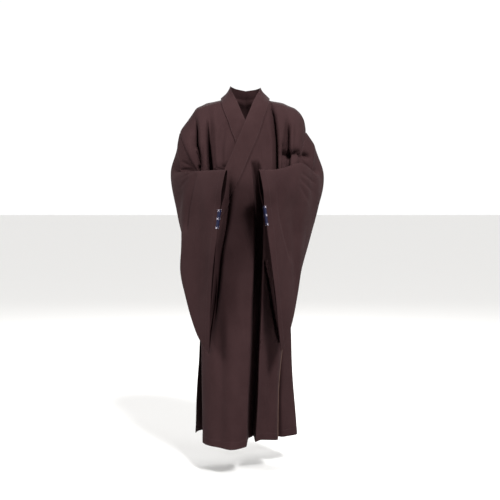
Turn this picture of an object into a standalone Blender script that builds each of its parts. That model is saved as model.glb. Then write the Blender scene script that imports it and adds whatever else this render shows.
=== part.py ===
"""A Buddhist monk's formal robe (haiqing) in its worn, hollow form.

Metres, +Z up. The origin is at the base of the neck, where the shoulders carry the robe. The front
faces -Y and the wearer's left is +X. Every piece is an open sheet, lofted between the sections of a
short table, and Solidify gives it the thickness of the doubled, hemmed cloth.
"""

import bmesh
import bpy
import numpy as np

CLOTH = 0.0022  # wall of the body and the sleeves
BAND_CLOTH = 0.0030  # the neckband is folded from several layers
ARMHOLE_GAP = 0.0043  # from the body's edge to the sleeve's, which leaves the armhole at an angle
LAYER = 0.0076  # from the middle of the inner front to the middle of the outer front
BAND_LIFT = 0.0046  # from the middle of the cloth under the neckband to the band's own middle
INNER_BAND_LIFT = 0.0033  # the same where the inner front's band lies under the outer front

HALF_COLUMNS = 15  # from a body panel's inner edge to its side
OVERLAP_ROWS = 20  # down the outer front's second half
OVERLAP_COLUMNS = 18  # and from its side edge to the centre seam
BAND_STEPS = 40  # along the neckband
BAND_COLUMNS = 5  # and over its width
SLEEVE_ROUND = 32  # round the sleeve
ARMHOLE_SAMPLES = 60  # down each edge of the armhole

BROWN = (0.066, 0.036, 0.037, 1.0)
BAND_BROWN = (0.060, 0.033, 0.030, 1.0)
ROUGHNESS = 0.88

# Sections of the front from the shoulder fold to the hem. z_mid is on the centre-front line and z_side
# at the side; x_mid is where the centre-front line runs; the widths and depths are those of the
# wearer's right (r) and left (l) half, and y_r and y_l are where the side edges lie.
SECTION = ("z_mid", "z_side", "x_mid", "w_r", "w_l", "d_r", "d_l", "y_r", "y_l")
FRONT = (
    (0.014, -0.110, 0.000, 0.230, 0.212, 0.012, 0.012, 0.012, 0.012),  # shoulder fold
    (0.006, -0.116, 0.000, 0.229, 0.211, -0.038, -0.038, -0.016, -0.016),
    (-0.022, -0.135, 0.000, 0.222, 0.206, -0.080, -0.080, -0.046, -0.046),
    (-0.070, -0.165, 0.000, 0.208, 0.198, -0.112, -0.112, -0.072, -0.070),
    (-0.130, -0.205, 0.010, 0.190, 0.186, -0.126, -0.126, -0.086, -0.082),
    (-0.200, -0.252, 0.028, 0.173, 0.174, -0.130, -0.130, -0.086, -0.082),  # elbow crook
    (-0.290, -0.325, 0.044, 0.164, 0.165, -0.130, -0.128, -0.060, -0.056),
    (-0.390, -0.410, 0.048, 0.160, 0.160, -0.132, -0.126, -0.0006, -0.0006),  # underarm
    (-0.530, -0.535, 0.046, 0.159, 0.157, -0.138, -0.124, 0.004, 0.004),
    (-0.690, -0.690, 0.040, 0.158, 0.152, -0.148, -0.120, 0.002, 0.004),
    (-0.860, -0.855, 0.033, 0.154, 0.128, -0.162, -0.114, -0.010, -0.030),  # top of the side slits
    (-1.030, -1.020, 0.026, 0.150, 0.116, -0.174, -0.108, -0.018, -0.044),
    (-1.198, -1.190, 0.019, 0.148, 0.111, -0.184, -0.102, -0.022, -0.050),  # hem
)
BACK = (
    (0.014, -0.110, 0.000, 0.230, 0.212, 0.012, 0.012, 0.012, 0.012),  # shoulder fold
    (0.010, -0.115, 0.000, 0.229, 0.211, 0.052, 0.052, 0.036, 0.036),
    (-0.020, -0.132, 0.000, 0.222, 0.206, 0.086, 0.086, 0.060, 0.060),
    (-0.070, -0.165, 0.000, 0.208, 0.198, 0.104, 0.104, 0.080, 0.080),
    (-0.130, -0.205, 0.000, 0.190, 0.186, 0.114, 0.114, 0.086, 0.086),
    (-0.200, -0.252, 0.000, 0.173, 0.174, 0.117, 0.117, 0.082, 0.082),
    (-0.290, -0.325, 0.000, 0.164, 0.165, 0.114, 0.114, 0.054, 0.054),
    (-0.390, -0.410, 0.000, 0.160, 0.160, 0.108, 0.108, 0.0012, 0.0012),  # underarm
    (-0.530, -0.535, 0.000, 0.159, 0.157, 0.108, 0.108, 0.0052, 0.0052),
    (-0.690, -0.690, 0.000, 0.158, 0.156, 0.114, 0.114, 0.0040, 0.0060),
    (-0.860, -0.855, 0.000, 0.163, 0.164, 0.122, 0.122, 0.026, 0.024),  # top of the side slits
    (-1.030, -1.020, 0.000, 0.172, 0.172, 0.132, 0.132, 0.040, 0.034),
    (-1.190, -1.190, 0.000, 0.179, 0.185, 0.140, 0.140, 0.050, 0.036),  # hem
)
LAST_ROW = 12.0
UNDERARM = 7  # the row of both tables where the sleeve seam ends
# The horizontal cut of each half is a squared-off quarter of an ellipse, raised to these powers.
SIDE_POWER = 0.86
FRONT_POWER = 0.80
HALVES_BLEND = 0.25  # share of the half width over which the two halves' depths run together
# How far the back panel's side turns forward past the side line below the slit, in quarter turns.
BACK_WRAP_LEFT = (
    (0.0, 0.0), (9.0, 0.0), (9.3, 0.14), (9.7, 0.29), (10.0, 0.49), (10.3, 0.59), (12.0, 0.68),
)
WRAP_FLATNESS = 0.42  # and how flat that part stays
# The shoulder line: how much of the fall to the side is reached at each share of the half width.
FALL_RIGHT = ((0.0, 0.0), (0.33, 0.09), (0.60, 0.21), (0.76, 0.35), (0.83, 0.56), (0.90, 0.75), (1.0, 1.0))
FALL_LEFT = ((0.0, 0.0), (0.35, 0.09), (0.62, 0.21), (0.82, 0.33), (0.92, 0.50), (0.975, 0.68), (1.0, 1.0))

# The rows of the upper and the lower solids, which stay 0.3 mm apart at the shoulder and the underarm.
UPPER_ROWS = np.linspace(0.006, 7.2985, 18)
LOWER_ROWS = np.linspace(7.3015, LAST_ROW, 13)
SHOULDER_ROWS = (4.0, 7.0)  # where the shoulder line gives way to level sections

# The two fronts lie in layers. The numbers are shares of the half width, -1 being the wearer's right.
OUTER_RISE = (-0.45, -0.85)  # where the outer front climbs over the inner one's side seam
INNER_DROP = (-0.98, -0.62)  # where the inner front drops behind the outer one
INNER_CLEAR = (-0.62, -0.20)  # and where it clears the fold at the centre
INNER_SINK_ROWS = (0.0, 2.6)  # the rows over which it sinks that far, down from the shoulder
CENTRE_SEAM = 0.0008  # half the gap at the centre seams
INNER_EDGE = -0.02  # where the inner front ends below its neckband
INNER_EDGE_ROW = 5.4
OUTER_TOP_ROW = 4.5  # where the outer front's second half starts under the neckband
OUTER_SIDE_ROWS = (6.8, 8.2)  # over which its edge runs out to the side seam
OUTER_SIDE = -0.985
BACK_NECK_ROW = 1.75  # how far down the back the neck opening reaches
HALF_CROWDING = 0.45  # how much the columns crowd towards the centre seam, where the deep fold is
OVERLAP_CROWDING = 1.35
INNER_RUN = 2.5  # how fast a panel's columns straighten, from its inner edge towards its side

# Folds hang as troughs along a path of (x, z); depth and width are at the deepest point, and the
# trough fades in from the first point and out towards the last one where ends_open is 0.
FOLD_FADE = 0.3  # share of the path over which it fades
FOLD_END = 0.02  # how far a trough that fades out runs past its last point
OPEN_END = 0.06  # and one that ends open
FOLD_DRAW = 0.7  # how much of a fold's depth it also draws the sides in by
FRONT_FOLDS = (
    (0.012, 0.009, 1, ((-0.182, -0.045), (-0.174, -0.160), (-0.166, -0.260))),
    (0.032, 0.013, 0, ((-0.128, -0.010), (-0.124, -0.140), (-0.117, -0.260), (-0.112, -0.41))),
    (0.020, 0.009, 1, ((0.088, -0.002), (0.098, -0.090), (0.103, -0.160), (0.101, -0.300))),
    (0.018, 0.010, 1, ((0.150, -0.040), (0.143, -0.130), (0.143, -0.250), (0.140, -0.36))),
    (0.006, 0.012, 0, ((-0.065, -0.060), (-0.085, -0.150), (-0.090, -0.250))),
    (0.022, 0.028, 0, ((-0.072, -0.470), (-0.092, -0.580), (-0.112, -0.740), (-0.125, -0.98))),
    (0.012, 0.016, 0, ((0.085, -0.500), (0.090, -0.800), (0.088, -1.20))),
    (0.010, 0.020, 0, ((-0.085, -0.700), (-0.080, -1.000), (-0.090, -1.30))),
)
# The outer front falls into one deep fold along its centre seam, flat at its bottom.
CENTRE_FOLD = ((0.0, 0.000), (4.0, 0.000), (6.0, 0.014), (8.0, 0.036), (10.0, 0.064), (12.0, 0.090))
CENTRE_FOLD_WIDTH = 0.0145
# How much higher than the wearer's right front the left one hangs beside that fold.
LEFT_FRONT_RISE = ((0.0, 0.0), (8.0, 0.0), (10.0, 0.009), (12.0, 0.022))
BACK_FOLDS = (
    (0.014, 0.013, 0, ((-0.125, -0.060), (-0.118, -0.250), (-0.105, -0.55))),
    (0.014, 0.013, 0, ((0.128, -0.050), (0.120, -0.250), (0.110, -0.52))),
    (0.022, 0.022, 0, ((-0.070, -0.350), (-0.078, -0.800), (-0.088, -1.40))),
    (0.020, 0.024, 0, ((0.062, -0.300), (0.075, -0.800), (0.080, -1.40))),
    (0.016, 0.018, 0, ((-0.128, -0.560), (-0.136, -0.900), (-0.140, -1.40))),
    (0.016, 0.018, 0, ((0.122, -0.600), (0.134, -0.900), (0.142, -1.40))),
    (0.010, 0.020, 0, ((-0.012, -0.450), (-0.010, -0.800), (0.006, -1.40))),
)

# The neckband, from the wearer's right side over the V and round the neck to the centre back. Its neck
# edge and its seam edge are (x, y, z); y is FRONT_PANEL or BACK_PANEL where that edge lies on the cloth.
FRONT_PANEL, BACK_PANEL = "front", "back"
NECK_LEFT = (
    (-0.153, FRONT_PANEL, -0.424), (-0.124, FRONT_PANEL, -0.362), (-0.095, FRONT_PANEL, -0.300),
    (-0.066, FRONT_PANEL, -0.236),
    (-0.031, FRONT_PANEL, -0.155), (-0.003, FRONT_PANEL, -0.088), (0.014, -0.099, -0.046),
    (0.026, -0.070, -0.014), (0.039, -0.036, 0.014), (0.050, 0.000, 0.037), (0.052, 0.032, 0.046),
    (0.036, 0.056, 0.042), (0.0004, 0.068, 0.038),
)
SEAM_LEFT = (
    (-0.151, FRONT_PANEL, -0.536), (-0.098, FRONT_PANEL, -0.436), (-0.054, FRONT_PANEL, -0.350),
    (-0.012, FRONT_PANEL, -0.262),
    (0.022, FRONT_PANEL, -0.182), (0.050, FRONT_PANEL, -0.114), (0.064, FRONT_PANEL, -0.070),
    (0.074, FRONT_PANEL, -0.040), (0.081, FRONT_PANEL, -0.016), (0.084, 0.012, 0.005),
    (0.076, 0.058, 0.000), (0.046, BACK_PANEL, -0.020), (0.0004, BACK_PANEL, -0.028),
)
NECK_RIGHT = (
    (0.022, FRONT_PANEL, -0.170), (0.014, FRONT_PANEL, -0.130), (0.004, FRONT_PANEL, -0.088),
    (-0.014, -0.095, -0.046), (-0.027, -0.070, -0.014), (-0.039, -0.036, 0.012),
    (-0.050, 0.000, 0.036), (-0.052, 0.030, 0.051), (-0.036, 0.056, 0.045), (-0.0004, 0.068, 0.038),
)
SEAM_RIGHT = (
    (-0.026, FRONT_PANEL, -0.196), (-0.034, FRONT_PANEL, -0.152), (-0.050, FRONT_PANEL, -0.108),
    (-0.063, FRONT_PANEL, -0.070), (-0.075, FRONT_PANEL, -0.040), (-0.082, FRONT_PANEL, -0.016),
    (-0.086, 0.012, 0.0055), (-0.078, 0.058, 0.000), (-0.046, BACK_PANEL, -0.020),
    (-0.0004, BACK_PANEL, -0.028),
)
UNDER_BAND = 0.010  # how far a panel's edge runs in under the neckband
BAND_LEAVES = (0.6, -0.2)  # the stations past its last one on the cloth over which the band lifts off

# Sections of the wearer's right sleeve from the armhole to the mouth: its top and bottom, how far the
# line between them bends, the direction of the outer sheet in plan, how far the outer and the inner
# sheet stand off that line round the arm, the share of it that is left below, and the share of the
# height at which the sheets have come that close: early at the mouth, whose lips are tacked together.
SLEEVE = ("top", "bottom", "bend", "turn", "outer", "inner", "hang", "closed_by")
# The sections of the upper and the lower solids, which stay 0.3 mm apart over the forearm.
UPPER_SLEEVE = np.linspace(0.0, 5.490, 16)
LOWER_SLEEVE = np.linspace(5.510, 8.0, 8)
SLEEVE_POWER = 0.7  # how full the sleeve stays near its top and bottom edges
ARMHOLE_END_ROW = UNDERARM - 0.3
SLEEVE_STARTS = 0.1  # the share of the height from which the sheets close up
SLEEVE_RIGHT = (
    ((-0.240, 0.010, -0.166), (-0.198, 0.015, -0.418), (-0.005, 0.008, 0.0), 95, 0.078, 0.086, 0.40, 0.90),
    ((-0.245, 0.006, -0.222), (-0.208, 0.010, -0.448), (-0.004, 0.006, 0.0), 122, 0.062, 0.078, 0.46, 0.90),
    ((-0.232, -0.024, -0.250), (-0.211, 0.000, -0.478), (-0.002, 0.000, 0.0), 160, 0.033, 0.054, 0.55, 0.90),
    ((-0.214, -0.070, -0.254), (-0.208, -0.056, -0.515), (-0.002, 0.000, 0.0), 192, 0.020, 0.036, 0.60, 0.90),
    ((-0.178, -0.126, -0.253), (-0.220, -0.096, -0.590), (0.002, -0.004, 0.0), 212, 0.022, 0.030, 0.50, 0.90),
    ((-0.136, -0.176, -0.252), (-0.200, -0.126, -0.690), (0.002, -0.004, 0.0), 214, 0.024, 0.034, 0.40, 0.90),
    ((-0.098, -0.226, -0.252), (-0.163, -0.162, -0.805), (0.000, 0.000, 0.0), 213, 0.022, 0.030, 0.30, 0.60),
    ((-0.060, -0.270, -0.252), (-0.121, -0.195, -0.868), (0.004, 0.000, 0.0), 212, 0.018, 0.020, 0.20, 0.32),
)
SLEEVE_LEFT = (
    ((0.246, 0.010, -0.168), (0.198, 0.015, -0.418), (0.006, 0.008, 0.0), 85, 0.078, 0.086, 0.40, 0.90),
    ((0.257, 0.006, -0.232), (0.211, 0.010, -0.456), (0.005, 0.006, 0.0), 58, 0.062, 0.078, 0.46, 0.90),
    ((0.242, -0.024, -0.260), (0.212, 0.000, -0.500), (0.004, 0.000, 0.0), 20, 0.034, 0.056, 0.55, 0.90),
    ((0.222, -0.070, -0.256), (0.198, -0.056, -0.560), (0.002, 0.000, 0.0), -12, 0.022, 0.038, 0.60, 0.90),
    ((0.184, -0.126, -0.244), (0.186, -0.096, -0.610), (0.000, -0.004, 0.0), -32, 0.024, 0.032, 0.50, 0.90),
    ((0.138, -0.176, -0.247), (0.176, -0.128, -0.680), (0.000, -0.004, 0.0), -34, 0.024, 0.034, 0.40, 0.90),
    ((0.092, -0.226, -0.250), (0.155, -0.162, -0.775), (0.000, 0.000, 0.0), -33, 0.022, 0.030, 0.30, 0.60),
    ((0.044, -0.270, -0.251), (0.120, -0.195, -0.860), (-0.006, 0.000, 0.0), -32, 0.018, 0.020, 0.20, 0.32),
)
MOST_FOLD = 0.8  # share of the way to the sleeve's middle that a fold may take
FOLD_START = 0.05  # how far above its first point a sleeve's fold begins
# Folds of a sleeve: on the outer (1) or the inner (-1) sheet, the depth, the width in sections, and the
# path as (section, share of the height from the top).
SLEEVE_FOLDS_RIGHT = (
    (1, 0.020, 0.34, ((4.55, 0.00), (4.35, 0.40), (4.30, 0.90))),
    (1, 0.008, 0.50, ((6.20, 0.10), (6.40, 0.60), (6.70, 1.00))),
    (-1, 0.008, 0.50, ((6.40, 0.20), (6.50, 1.00))),
    (-1, 0.014, 0.30, ((2.50, 0.30), (3.00, 0.60), (3.20, 1.00))),
)
SLEEVE_FOLDS_LEFT = (
    (1, 0.018, 0.34, ((4.60, 0.00), (4.35, 0.40), (4.20, 0.90))),
    (1, 0.010, 0.50, ((5.80, 0.15), (5.90, 0.60), (6.20, 1.00))),
    (-1, 0.008, 0.50, ((6.30, 0.20), (6.50, 1.00))),
    (-1, 0.014, 0.30, ((2.50, 0.30), (3.00, 0.60), (3.20, 1.00))),
)

# How a point of (x, z) is looked up on a panel: a grid of samples, then small steps of (across, row).
SEARCH_TOP, SEARCH_ROWS, SEARCH_COLUMNS = 0.4, 233, 161
SEARCH_STEP = (0.02, 0.05)


def clear_scene():
    for item in list(bpy.data.objects):
        bpy.data.objects.remove(item)


def smooth_step(low, high, value):
    share = np.clip((value - low) / (high - low), 0.0, 1.0)
    return share * share * (3.0 - 2.0 * share)


def through(knots, values, at):
    """A smooth curve through the values at the knots, flat where it would overshoot."""
    knots = np.asarray(knots, float)
    values = np.asarray(values, float)
    at = np.clip(np.asarray(at, float), knots[0], knots[-1])
    tail = (1,) * (values.ndim - 1)
    steps = np.diff(knots).reshape(-1, *tail)
    slopes = np.diff(values, axis=0) / steps
    tangents = np.zeros_like(values)
    tangents[0], tangents[-1] = slopes[0], slopes[-1]
    before, after = slopes[:-1], slopes[1:]
    total = np.where(np.abs(before + after) < 1e-12, 1.0, before + after)
    tangents[1:-1] = np.where(before * after > 0.0, 2.0 * before * after / total, 0.0)
    place = np.clip(np.searchsorted(knots, at, side="right") - 1, 0, len(knots) - 2)
    span = (knots[place + 1] - knots[place]).reshape(at.shape + tail)
    share = (at.reshape(at.shape + tail) - knots[place].reshape(at.shape + tail)) / span
    rise = smooth_step(0.0, 1.0, share)
    leaving = share * (1.0 - share) ** 2 * span
    arriving = share**2 * (share - 1.0) * span
    ends = values[place] * (1.0 - rise) + values[place + 1] * rise
    return ends + tangents[place] * leaving + tangents[place + 1] * arriving


def column(table, names, name, row):
    """One named column of a table of sections at fractional rows."""
    values = [entry[names.index(name)] for entry in table]
    return through(range(len(table)), values, row)


def pairs(table, at):
    knots, values = zip(*table)
    return np.interp(at, knots, values)


def fold_depth(folds, x, z):
    """How far the troughs push the cloth in at (x, z)."""
    total = np.zeros_like(x)
    for depth, width, ends_open, path in folds:
        xs, zs = np.array(path)[::-1].T
        middle = np.interp(z, zs, xs)
        length = zs[-1] - zs[0]
        fade = smooth_step(zs[-1], zs[-1] - FOLD_FADE * length, z)
        if ends_open:
            fade = fade * smooth_step(zs[0] - OPEN_END, zs[0], z)
        else:
            fade = fade * smooth_step(zs[0] - FOLD_END, zs[0] + FOLD_FADE * length, z)
        total += depth * fade * np.exp(-(((x - middle) / width) ** 2))
    return total


def signed_power(value, power):
    return np.sign(value) * np.abs(value) ** power


def body_surface(across, row, is_front, centre_fold=True):
    """A point of the front or the back. across runs from -1, the wearer's right side, to 1."""
    table = FRONT if is_front else BACK
    share = np.abs(across)
    left = across >= 0.0
    outward = np.where(left, 1.0, -1.0)
    turn = share * np.pi / 2
    if not is_front:
        turn = turn * (1.0 + np.where(left, pairs(BACK_WRAP_LEFT, row), 0.0))
    wide = signed_power(np.sin(turn), SIDE_POWER)
    deep = signed_power(np.cos(turn), FRONT_POWER)
    named = {name: column(table, SECTION, name, row) for name in SECTION}
    width = np.where(left, named["w_l"], named["w_r"])
    middle = named["x_mid"]
    x = middle + outward * wide * (width - outward * middle)
    side_y = np.where(left, named["y_l"], named["y_r"])
    blend = smooth_step(-HALVES_BLEND, HALVES_BLEND, across)
    depth = named["d_r"] * (1.0 - blend) + named["d_l"] * blend
    y = side_y + (depth - side_y) * np.where(deep < 0.0, WRAP_FLATNESS * deep, deep)
    reach = np.clip(np.abs(x) / width, 0.0, 1.0)
    fall = np.where(left, pairs(FALL_LEFT, reach), pairs(FALL_RIGHT, reach))
    level = smooth_step(*SHOULDER_ROWS, row)
    fall = fall * (1.0 - level) + share * level
    z_mid = named["z_mid"]
    if is_front:
        z_mid = z_mid + pairs(LEFT_FRONT_RISE, row) * blend
    z = z_mid + (named["z_side"] - z_mid) * fall
    inward = fold_depth(FRONT_FOLDS if is_front else BACK_FOLDS, x, z) * smooth_step(0.0, 2.0, row)
    if is_front and centre_fold:
        inward = inward + pairs(CENTRE_FOLD, row) * np.exp(-(((x - middle) / CENTRE_FOLD_WIDTH) ** 4))
    towards = 1.0 if is_front else -1.0
    return np.stack([x - outward * wide**3 * inward * FOLD_DRAW, y + towards * inward, z], axis=-1)


def outward_of(across, row, is_front, centre_fold=True):
    """The unit direction out of the robe at a point of the body."""
    step, row_step = 1e-3, 1e-2
    kind = (is_front, centre_fold)
    along = body_surface(across + step, row, *kind) - body_surface(across - step, row, *kind)
    down = body_surface(across, row + row_step, *kind) - body_surface(across, row - row_step, *kind)
    out = np.cross(along, down)
    out = out / np.maximum(np.linalg.norm(out, axis=-1, keepdims=True), 1e-12)
    return -out if is_front else out


def body_point(across, row, is_front, lift=0.0, centre_fold=True):
    """A point of the body moved out of its surface by lift."""
    point = body_surface(across, row, is_front, centre_fold)
    return point + outward_of(across, row, is_front, centre_fold) * np.asarray(lift)[..., None]


def outer_lift(across):
    return LAYER * smooth_step(*OUTER_RISE, across)


def inner_lift(across, row):
    behind_fold = pairs(CENTRE_FOLD, row) * smooth_step(*INNER_CLEAR, across)
    sunk = smooth_step(*INNER_DROP, across) * smooth_step(*INNER_SINK_ROWS, row)
    return -(LAYER + behind_fold) * sunk


def place_on(x, z, is_front):
    """Where on the front or the back panel (x, z) is, as (across, row): the nearest sample, refined."""
    rows = np.linspace(SEARCH_TOP, LAST_ROW, SEARCH_ROWS)
    shares = np.linspace(-1.0, 1.0, SEARCH_COLUMNS)
    grid_row, grid_across = np.meshgrid(rows, shares, indexing="ij")
    samples = body_surface(grid_across.ravel(), grid_row.ravel(), is_front)
    miss = (samples[None, :, 0] - x[:, None]) ** 2 + (samples[None, :, 2] - z[:, None]) ** 2
    near = miss.argmin(axis=1)
    across, row = grid_across.ravel()[near], grid_row.ravel()[near]
    step = 1e-4
    most_across, most_row = SEARCH_STEP
    for _ in range(4):
        here = body_surface(across, row, is_front)
        by_across = (body_surface(across + step, row, is_front) - here) / step
        by_row = (body_surface(across, row + step, is_front) - here) / step
        miss_x, miss_z = x - here[:, 0], z - here[:, 2]
        area = by_across[:, 0] * by_row[:, 2] - by_row[:, 0] * by_across[:, 2]
        area = np.where(np.abs(area) < 1e-7, 1e-7, area)
        across_by = (miss_x * by_row[:, 2] - by_row[:, 0] * miss_z) / area
        row_by = (by_across[:, 0] * miss_z - miss_x * by_across[:, 2]) / area
        across = np.clip(across + np.clip(across_by, -most_across, most_across), -0.999, 0.999)
        row = np.clip(row + np.clip(row_by, -most_row, most_row), SEARCH_TOP - 0.1, LAST_ROW)
    return across, row


def across_where(reached, row):
    """The across value at which reached(points) turns from below 0 to above it, on a row of the front."""
    low, high = np.full_like(row, -1.0), np.full_like(row, 1.0)
    for _ in range(40):
        middle = (low + high) / 2
        below = reached(body_surface(middle, row, True)) < 0.0
        low, high = np.where(below, middle, low), np.where(below, high, middle)
    return (low + high) / 2


def past_line(line, shift):
    """A test of how far points lie to the wearer's left of a line of (x, y, z), moved by shift."""
    ordered = sorted((entry[2], entry[0]) for entry in line)
    heights, places = zip(*ordered)
    return lambda points: points[:, 0] - np.interp(points[:, 2], heights, places) - shift


def cloth_material(name, colour):
    made = bpy.data.materials.new(name)
    made.use_nodes = True
    shader = made.node_tree.nodes["Principled BSDF"]
    shader.inputs["Base Color"].default_value = colour
    shader.inputs["Roughness"].default_value = ROUGHNESS
    shader.inputs["Metallic"].default_value = 0.0
    return made


def grid_object(name, points, closed_round, colour, wall):
    """A sheet through a grid of points, thickened to a closed wall."""
    steps, count = points.shape[:2]
    build = bmesh.new()
    corners = [[build.verts.new(place) for place in line] for line in points]
    for i in range(steps - 1):
        for j in range(count if closed_round else count - 1):
            k = (j + 1) % count
            build.faces.new((corners[i][j], corners[i][k], corners[i + 1][k], corners[i + 1][j]))
    mesh = bpy.data.meshes.new(name)
    build.to_mesh(mesh)
    build.free()
    mesh.shade_smooth()
    mesh.materials.append(cloth_material(name + "_cloth", colour))
    item = bpy.data.objects.new(name, mesh)
    robe.objects.link(item)
    thicken = item.modifiers.new("Cloth wall", "SOLIDIFY")
    thicken.thickness = wall
    thicken.offset = 0.0
    thicken.use_rim = True
    return item


def inner_edges(rows, is_front, left):
    """The across value at which a body panel ends towards the middle, on each row."""
    side = 1.0 if left else -1.0
    centre = np.full_like(rows, side * CENTRE_SEAM)
    seam = SEAM_LEFT[2:10] if left else SEAM_RIGHT[:7]
    if is_front:
        under = across_where(past_line(seam, -side * UNDER_BAND), rows)
        if left:
            return np.maximum(under, centre)
        return np.minimum(np.where(rows < INNER_EDGE_ROW, under, INNER_EDGE), INNER_EDGE)
    neck = across_where(past_line(seam[-1:], -side * UNDER_BAND), np.array([0.0]))[0]
    round_neck = neck * np.sqrt(np.clip(1.0 - (rows / BACK_NECK_ROW) ** 2, 0.0, 1.0))
    return np.where(np.abs(round_neck) > CENTRE_SEAM, round_neck, centre)


def body_panel(name, left, is_front, rows):
    """One half's front or back over a span of rows. The robe has all four spans in one length."""
    side = 1.0 if left else -1.0
    inner = inner_edges(rows, is_front, left)
    shares = np.linspace(0.0, 1.0, HALF_COLUMNS)[None, :]
    if is_front and left:
        shares = shares ** (1.0 + HALF_CROWDING * smooth_step(*SHOULDER_ROWS, rows)[:, None])
    across = side * shares + inner[:, None] * (1.0 - shares) ** INNER_RUN
    row = np.repeat(rows[:, None], HALF_COLUMNS, axis=1)
    lift = inner_lift(across, row) if is_front and not left else np.zeros_like(across)
    points = body_point(across.ravel(), row.ravel(), is_front, lift.ravel(), left)
    grid = points.reshape(len(rows), HALF_COLUMNS, 3)
    return grid_object(name, grid if left == is_front else grid[:, ::-1], False, BROWN, CLOTH)


def overlap_panel(name):
    """The outer front's second half, from the centre-front seam to the wearer's right side."""
    rows = np.linspace(OUTER_TOP_ROW, LAST_ROW, OVERLAP_ROWS)
    edge = across_where(past_line(SEAM_LEFT[:7], -UNDER_BAND), rows)
    to_side = smooth_step(*OUTER_SIDE_ROWS, rows)
    edge = np.clip(edge * (1.0 - to_side) + OUTER_SIDE * to_side, OUTER_SIDE, INNER_EDGE)
    shares = np.linspace(1.0, 0.0, OVERLAP_COLUMNS)[None, :] ** OVERLAP_CROWDING
    across = -CENTRE_SEAM + (edge[:, None] + CENTRE_SEAM) * shares
    row = np.repeat(rows[:, None], OVERLAP_COLUMNS, axis=1)
    points = body_point(across.ravel(), row.ravel(), True, outer_lift(across.ravel()))
    return grid_object(name, points.reshape(len(rows), OVERLAP_COLUMNS, 3), False, BROWN, CLOTH)


def on_panel(x, z, panel, lift_of):
    """Points of the neckband that lie on the front or the back panel at (x, z)."""
    is_front = panel == FRONT_PANEL
    across, row = place_on(x, z, is_front)
    lift = lift_of(across, row) if is_front else np.full(len(x), BAND_LIFT)
    return body_point(across, row, is_front, lift)


def band_point(entry, lift_of):
    x, panel, z = entry
    if not isinstance(panel, str):
        return np.array(entry)
    return on_panel(np.array([x]), np.array([z]), panel, lift_of)[0]


def band_line(line, at, lift_of):
    """Points along the neckband: on the panel where the line lies there, free round the neck."""
    knots = range(len(line))
    x = through(knots, [entry[0] for entry in line], at)
    z = through(knots, [entry[2] for entry in line], at)
    points = through(knots, np.array([band_point(entry, lift_of) for entry in line]), at)
    for panel in (FRONT_PANEL, BACK_PANEL):
        lies = [index for index, entry in enumerate(line) if entry[1] == panel]
        if not lies:
            continue
        # The line leaves the panel over the last part of the way to its next station.
        if panel == FRONT_PANEL:
            weight = smooth_step(lies[-1] + BAND_LEAVES[0], lies[-1] + BAND_LEAVES[1], at)
        else:
            weight = smooth_step(lies[0] - BAND_LEAVES[0], lies[0] - BAND_LEAVES[1], at)
        weight = weight[:, None]
        points = points * (1.0 - weight) + on_panel(x, z, panel, lift_of) * weight
    return points


def neckband(name, neck, seam, left):
    def lift_of(across, row):
        if left:
            return outer_lift(across) + BAND_LIFT
        sunk = smooth_step(*INNER_SINK_ROWS, row)
        return inner_lift(across, row) + BAND_LIFT * (1.0 - sunk) + INNER_BAND_LIFT * sunk

    at = np.linspace(0.0, len(neck) - 1.0, BAND_STEPS)
    lines = []
    for share in np.linspace(0.0, 1.0, BAND_COLUMNS):
        line = []
        for inner, outer in zip(neck, seam):
            if isinstance(inner[1], str) and inner[1] == outer[1]:
                x = inner[0] + (outer[0] - inner[0]) * share
                z = inner[2] + (outer[2] - inner[2]) * share
                line.append((x, inner[1], z))
            elif share in (0.0, 1.0):
                line.append(outer if share else inner)
            else:
                start, end = band_point(inner, lift_of), band_point(outer, lift_of)
                line.append(tuple(start + (end - start) * share))
        lines.append(band_line(line, at, lift_of))
    grid = np.stack(lines, axis=1)
    return grid_object(name, grid[:, ::-1] if left else grid, False, BAND_BROWN, BAND_CLOTH)


def armhole(left, shares):
    """The front and the back edge of the armhole, from the shoulder fold down to the underarm."""
    side = 1.0 if left else -1.0
    rows = np.linspace(0.0, ARMHOLE_END_ROW, ARMHOLE_SAMPLES)
    edges = []
    for is_front in (True, False):
        here = body_surface(np.full_like(rows, side), rows, is_front)
        out = here - body_surface(np.full_like(rows, side * 0.99), rows, is_front)
        here = here + out / np.linalg.norm(out, axis=1, keepdims=True) * ARMHOLE_GAP
        length = np.concatenate([[0.0], np.cumsum(np.linalg.norm(np.diff(here, axis=0), axis=1))])
        along = shares * length[-1]
        edges.append(np.stack([np.interp(along, length, here[:, k]) for k in range(3)], axis=1))
    return edges


def sleeve_folds(grid, at, folds, down):
    """The sleeve's grid with each fold pushed in from its own sheet towards the other one."""
    half = SLEEVE_ROUND // 2
    middle = (grid + grid[:, -np.arange(SLEEVE_ROUND)]) / 2
    for sheet, depth, width, path in folds:
        on_sheet = np.arange(SLEEVE_ROUND) > half if sheet > 0 else np.arange(SLEEVE_ROUND) < half
        places, heights = zip(*path)
        beside = (at[:, None] - np.interp(down, heights, places)[None, :]) / width
        fade = np.sqrt(np.sin(np.pi * down)) * (down >= heights[0] - FOLD_START) * on_sheet
        inward = middle - grid
        reach = np.maximum(np.linalg.norm(inward, axis=2), 1e-6)
        push = np.minimum(depth * np.exp(-(beside**2)) * fade, MOST_FOLD * reach)
        grid = grid + inward * (push / reach)[..., None]
    return grid


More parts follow.
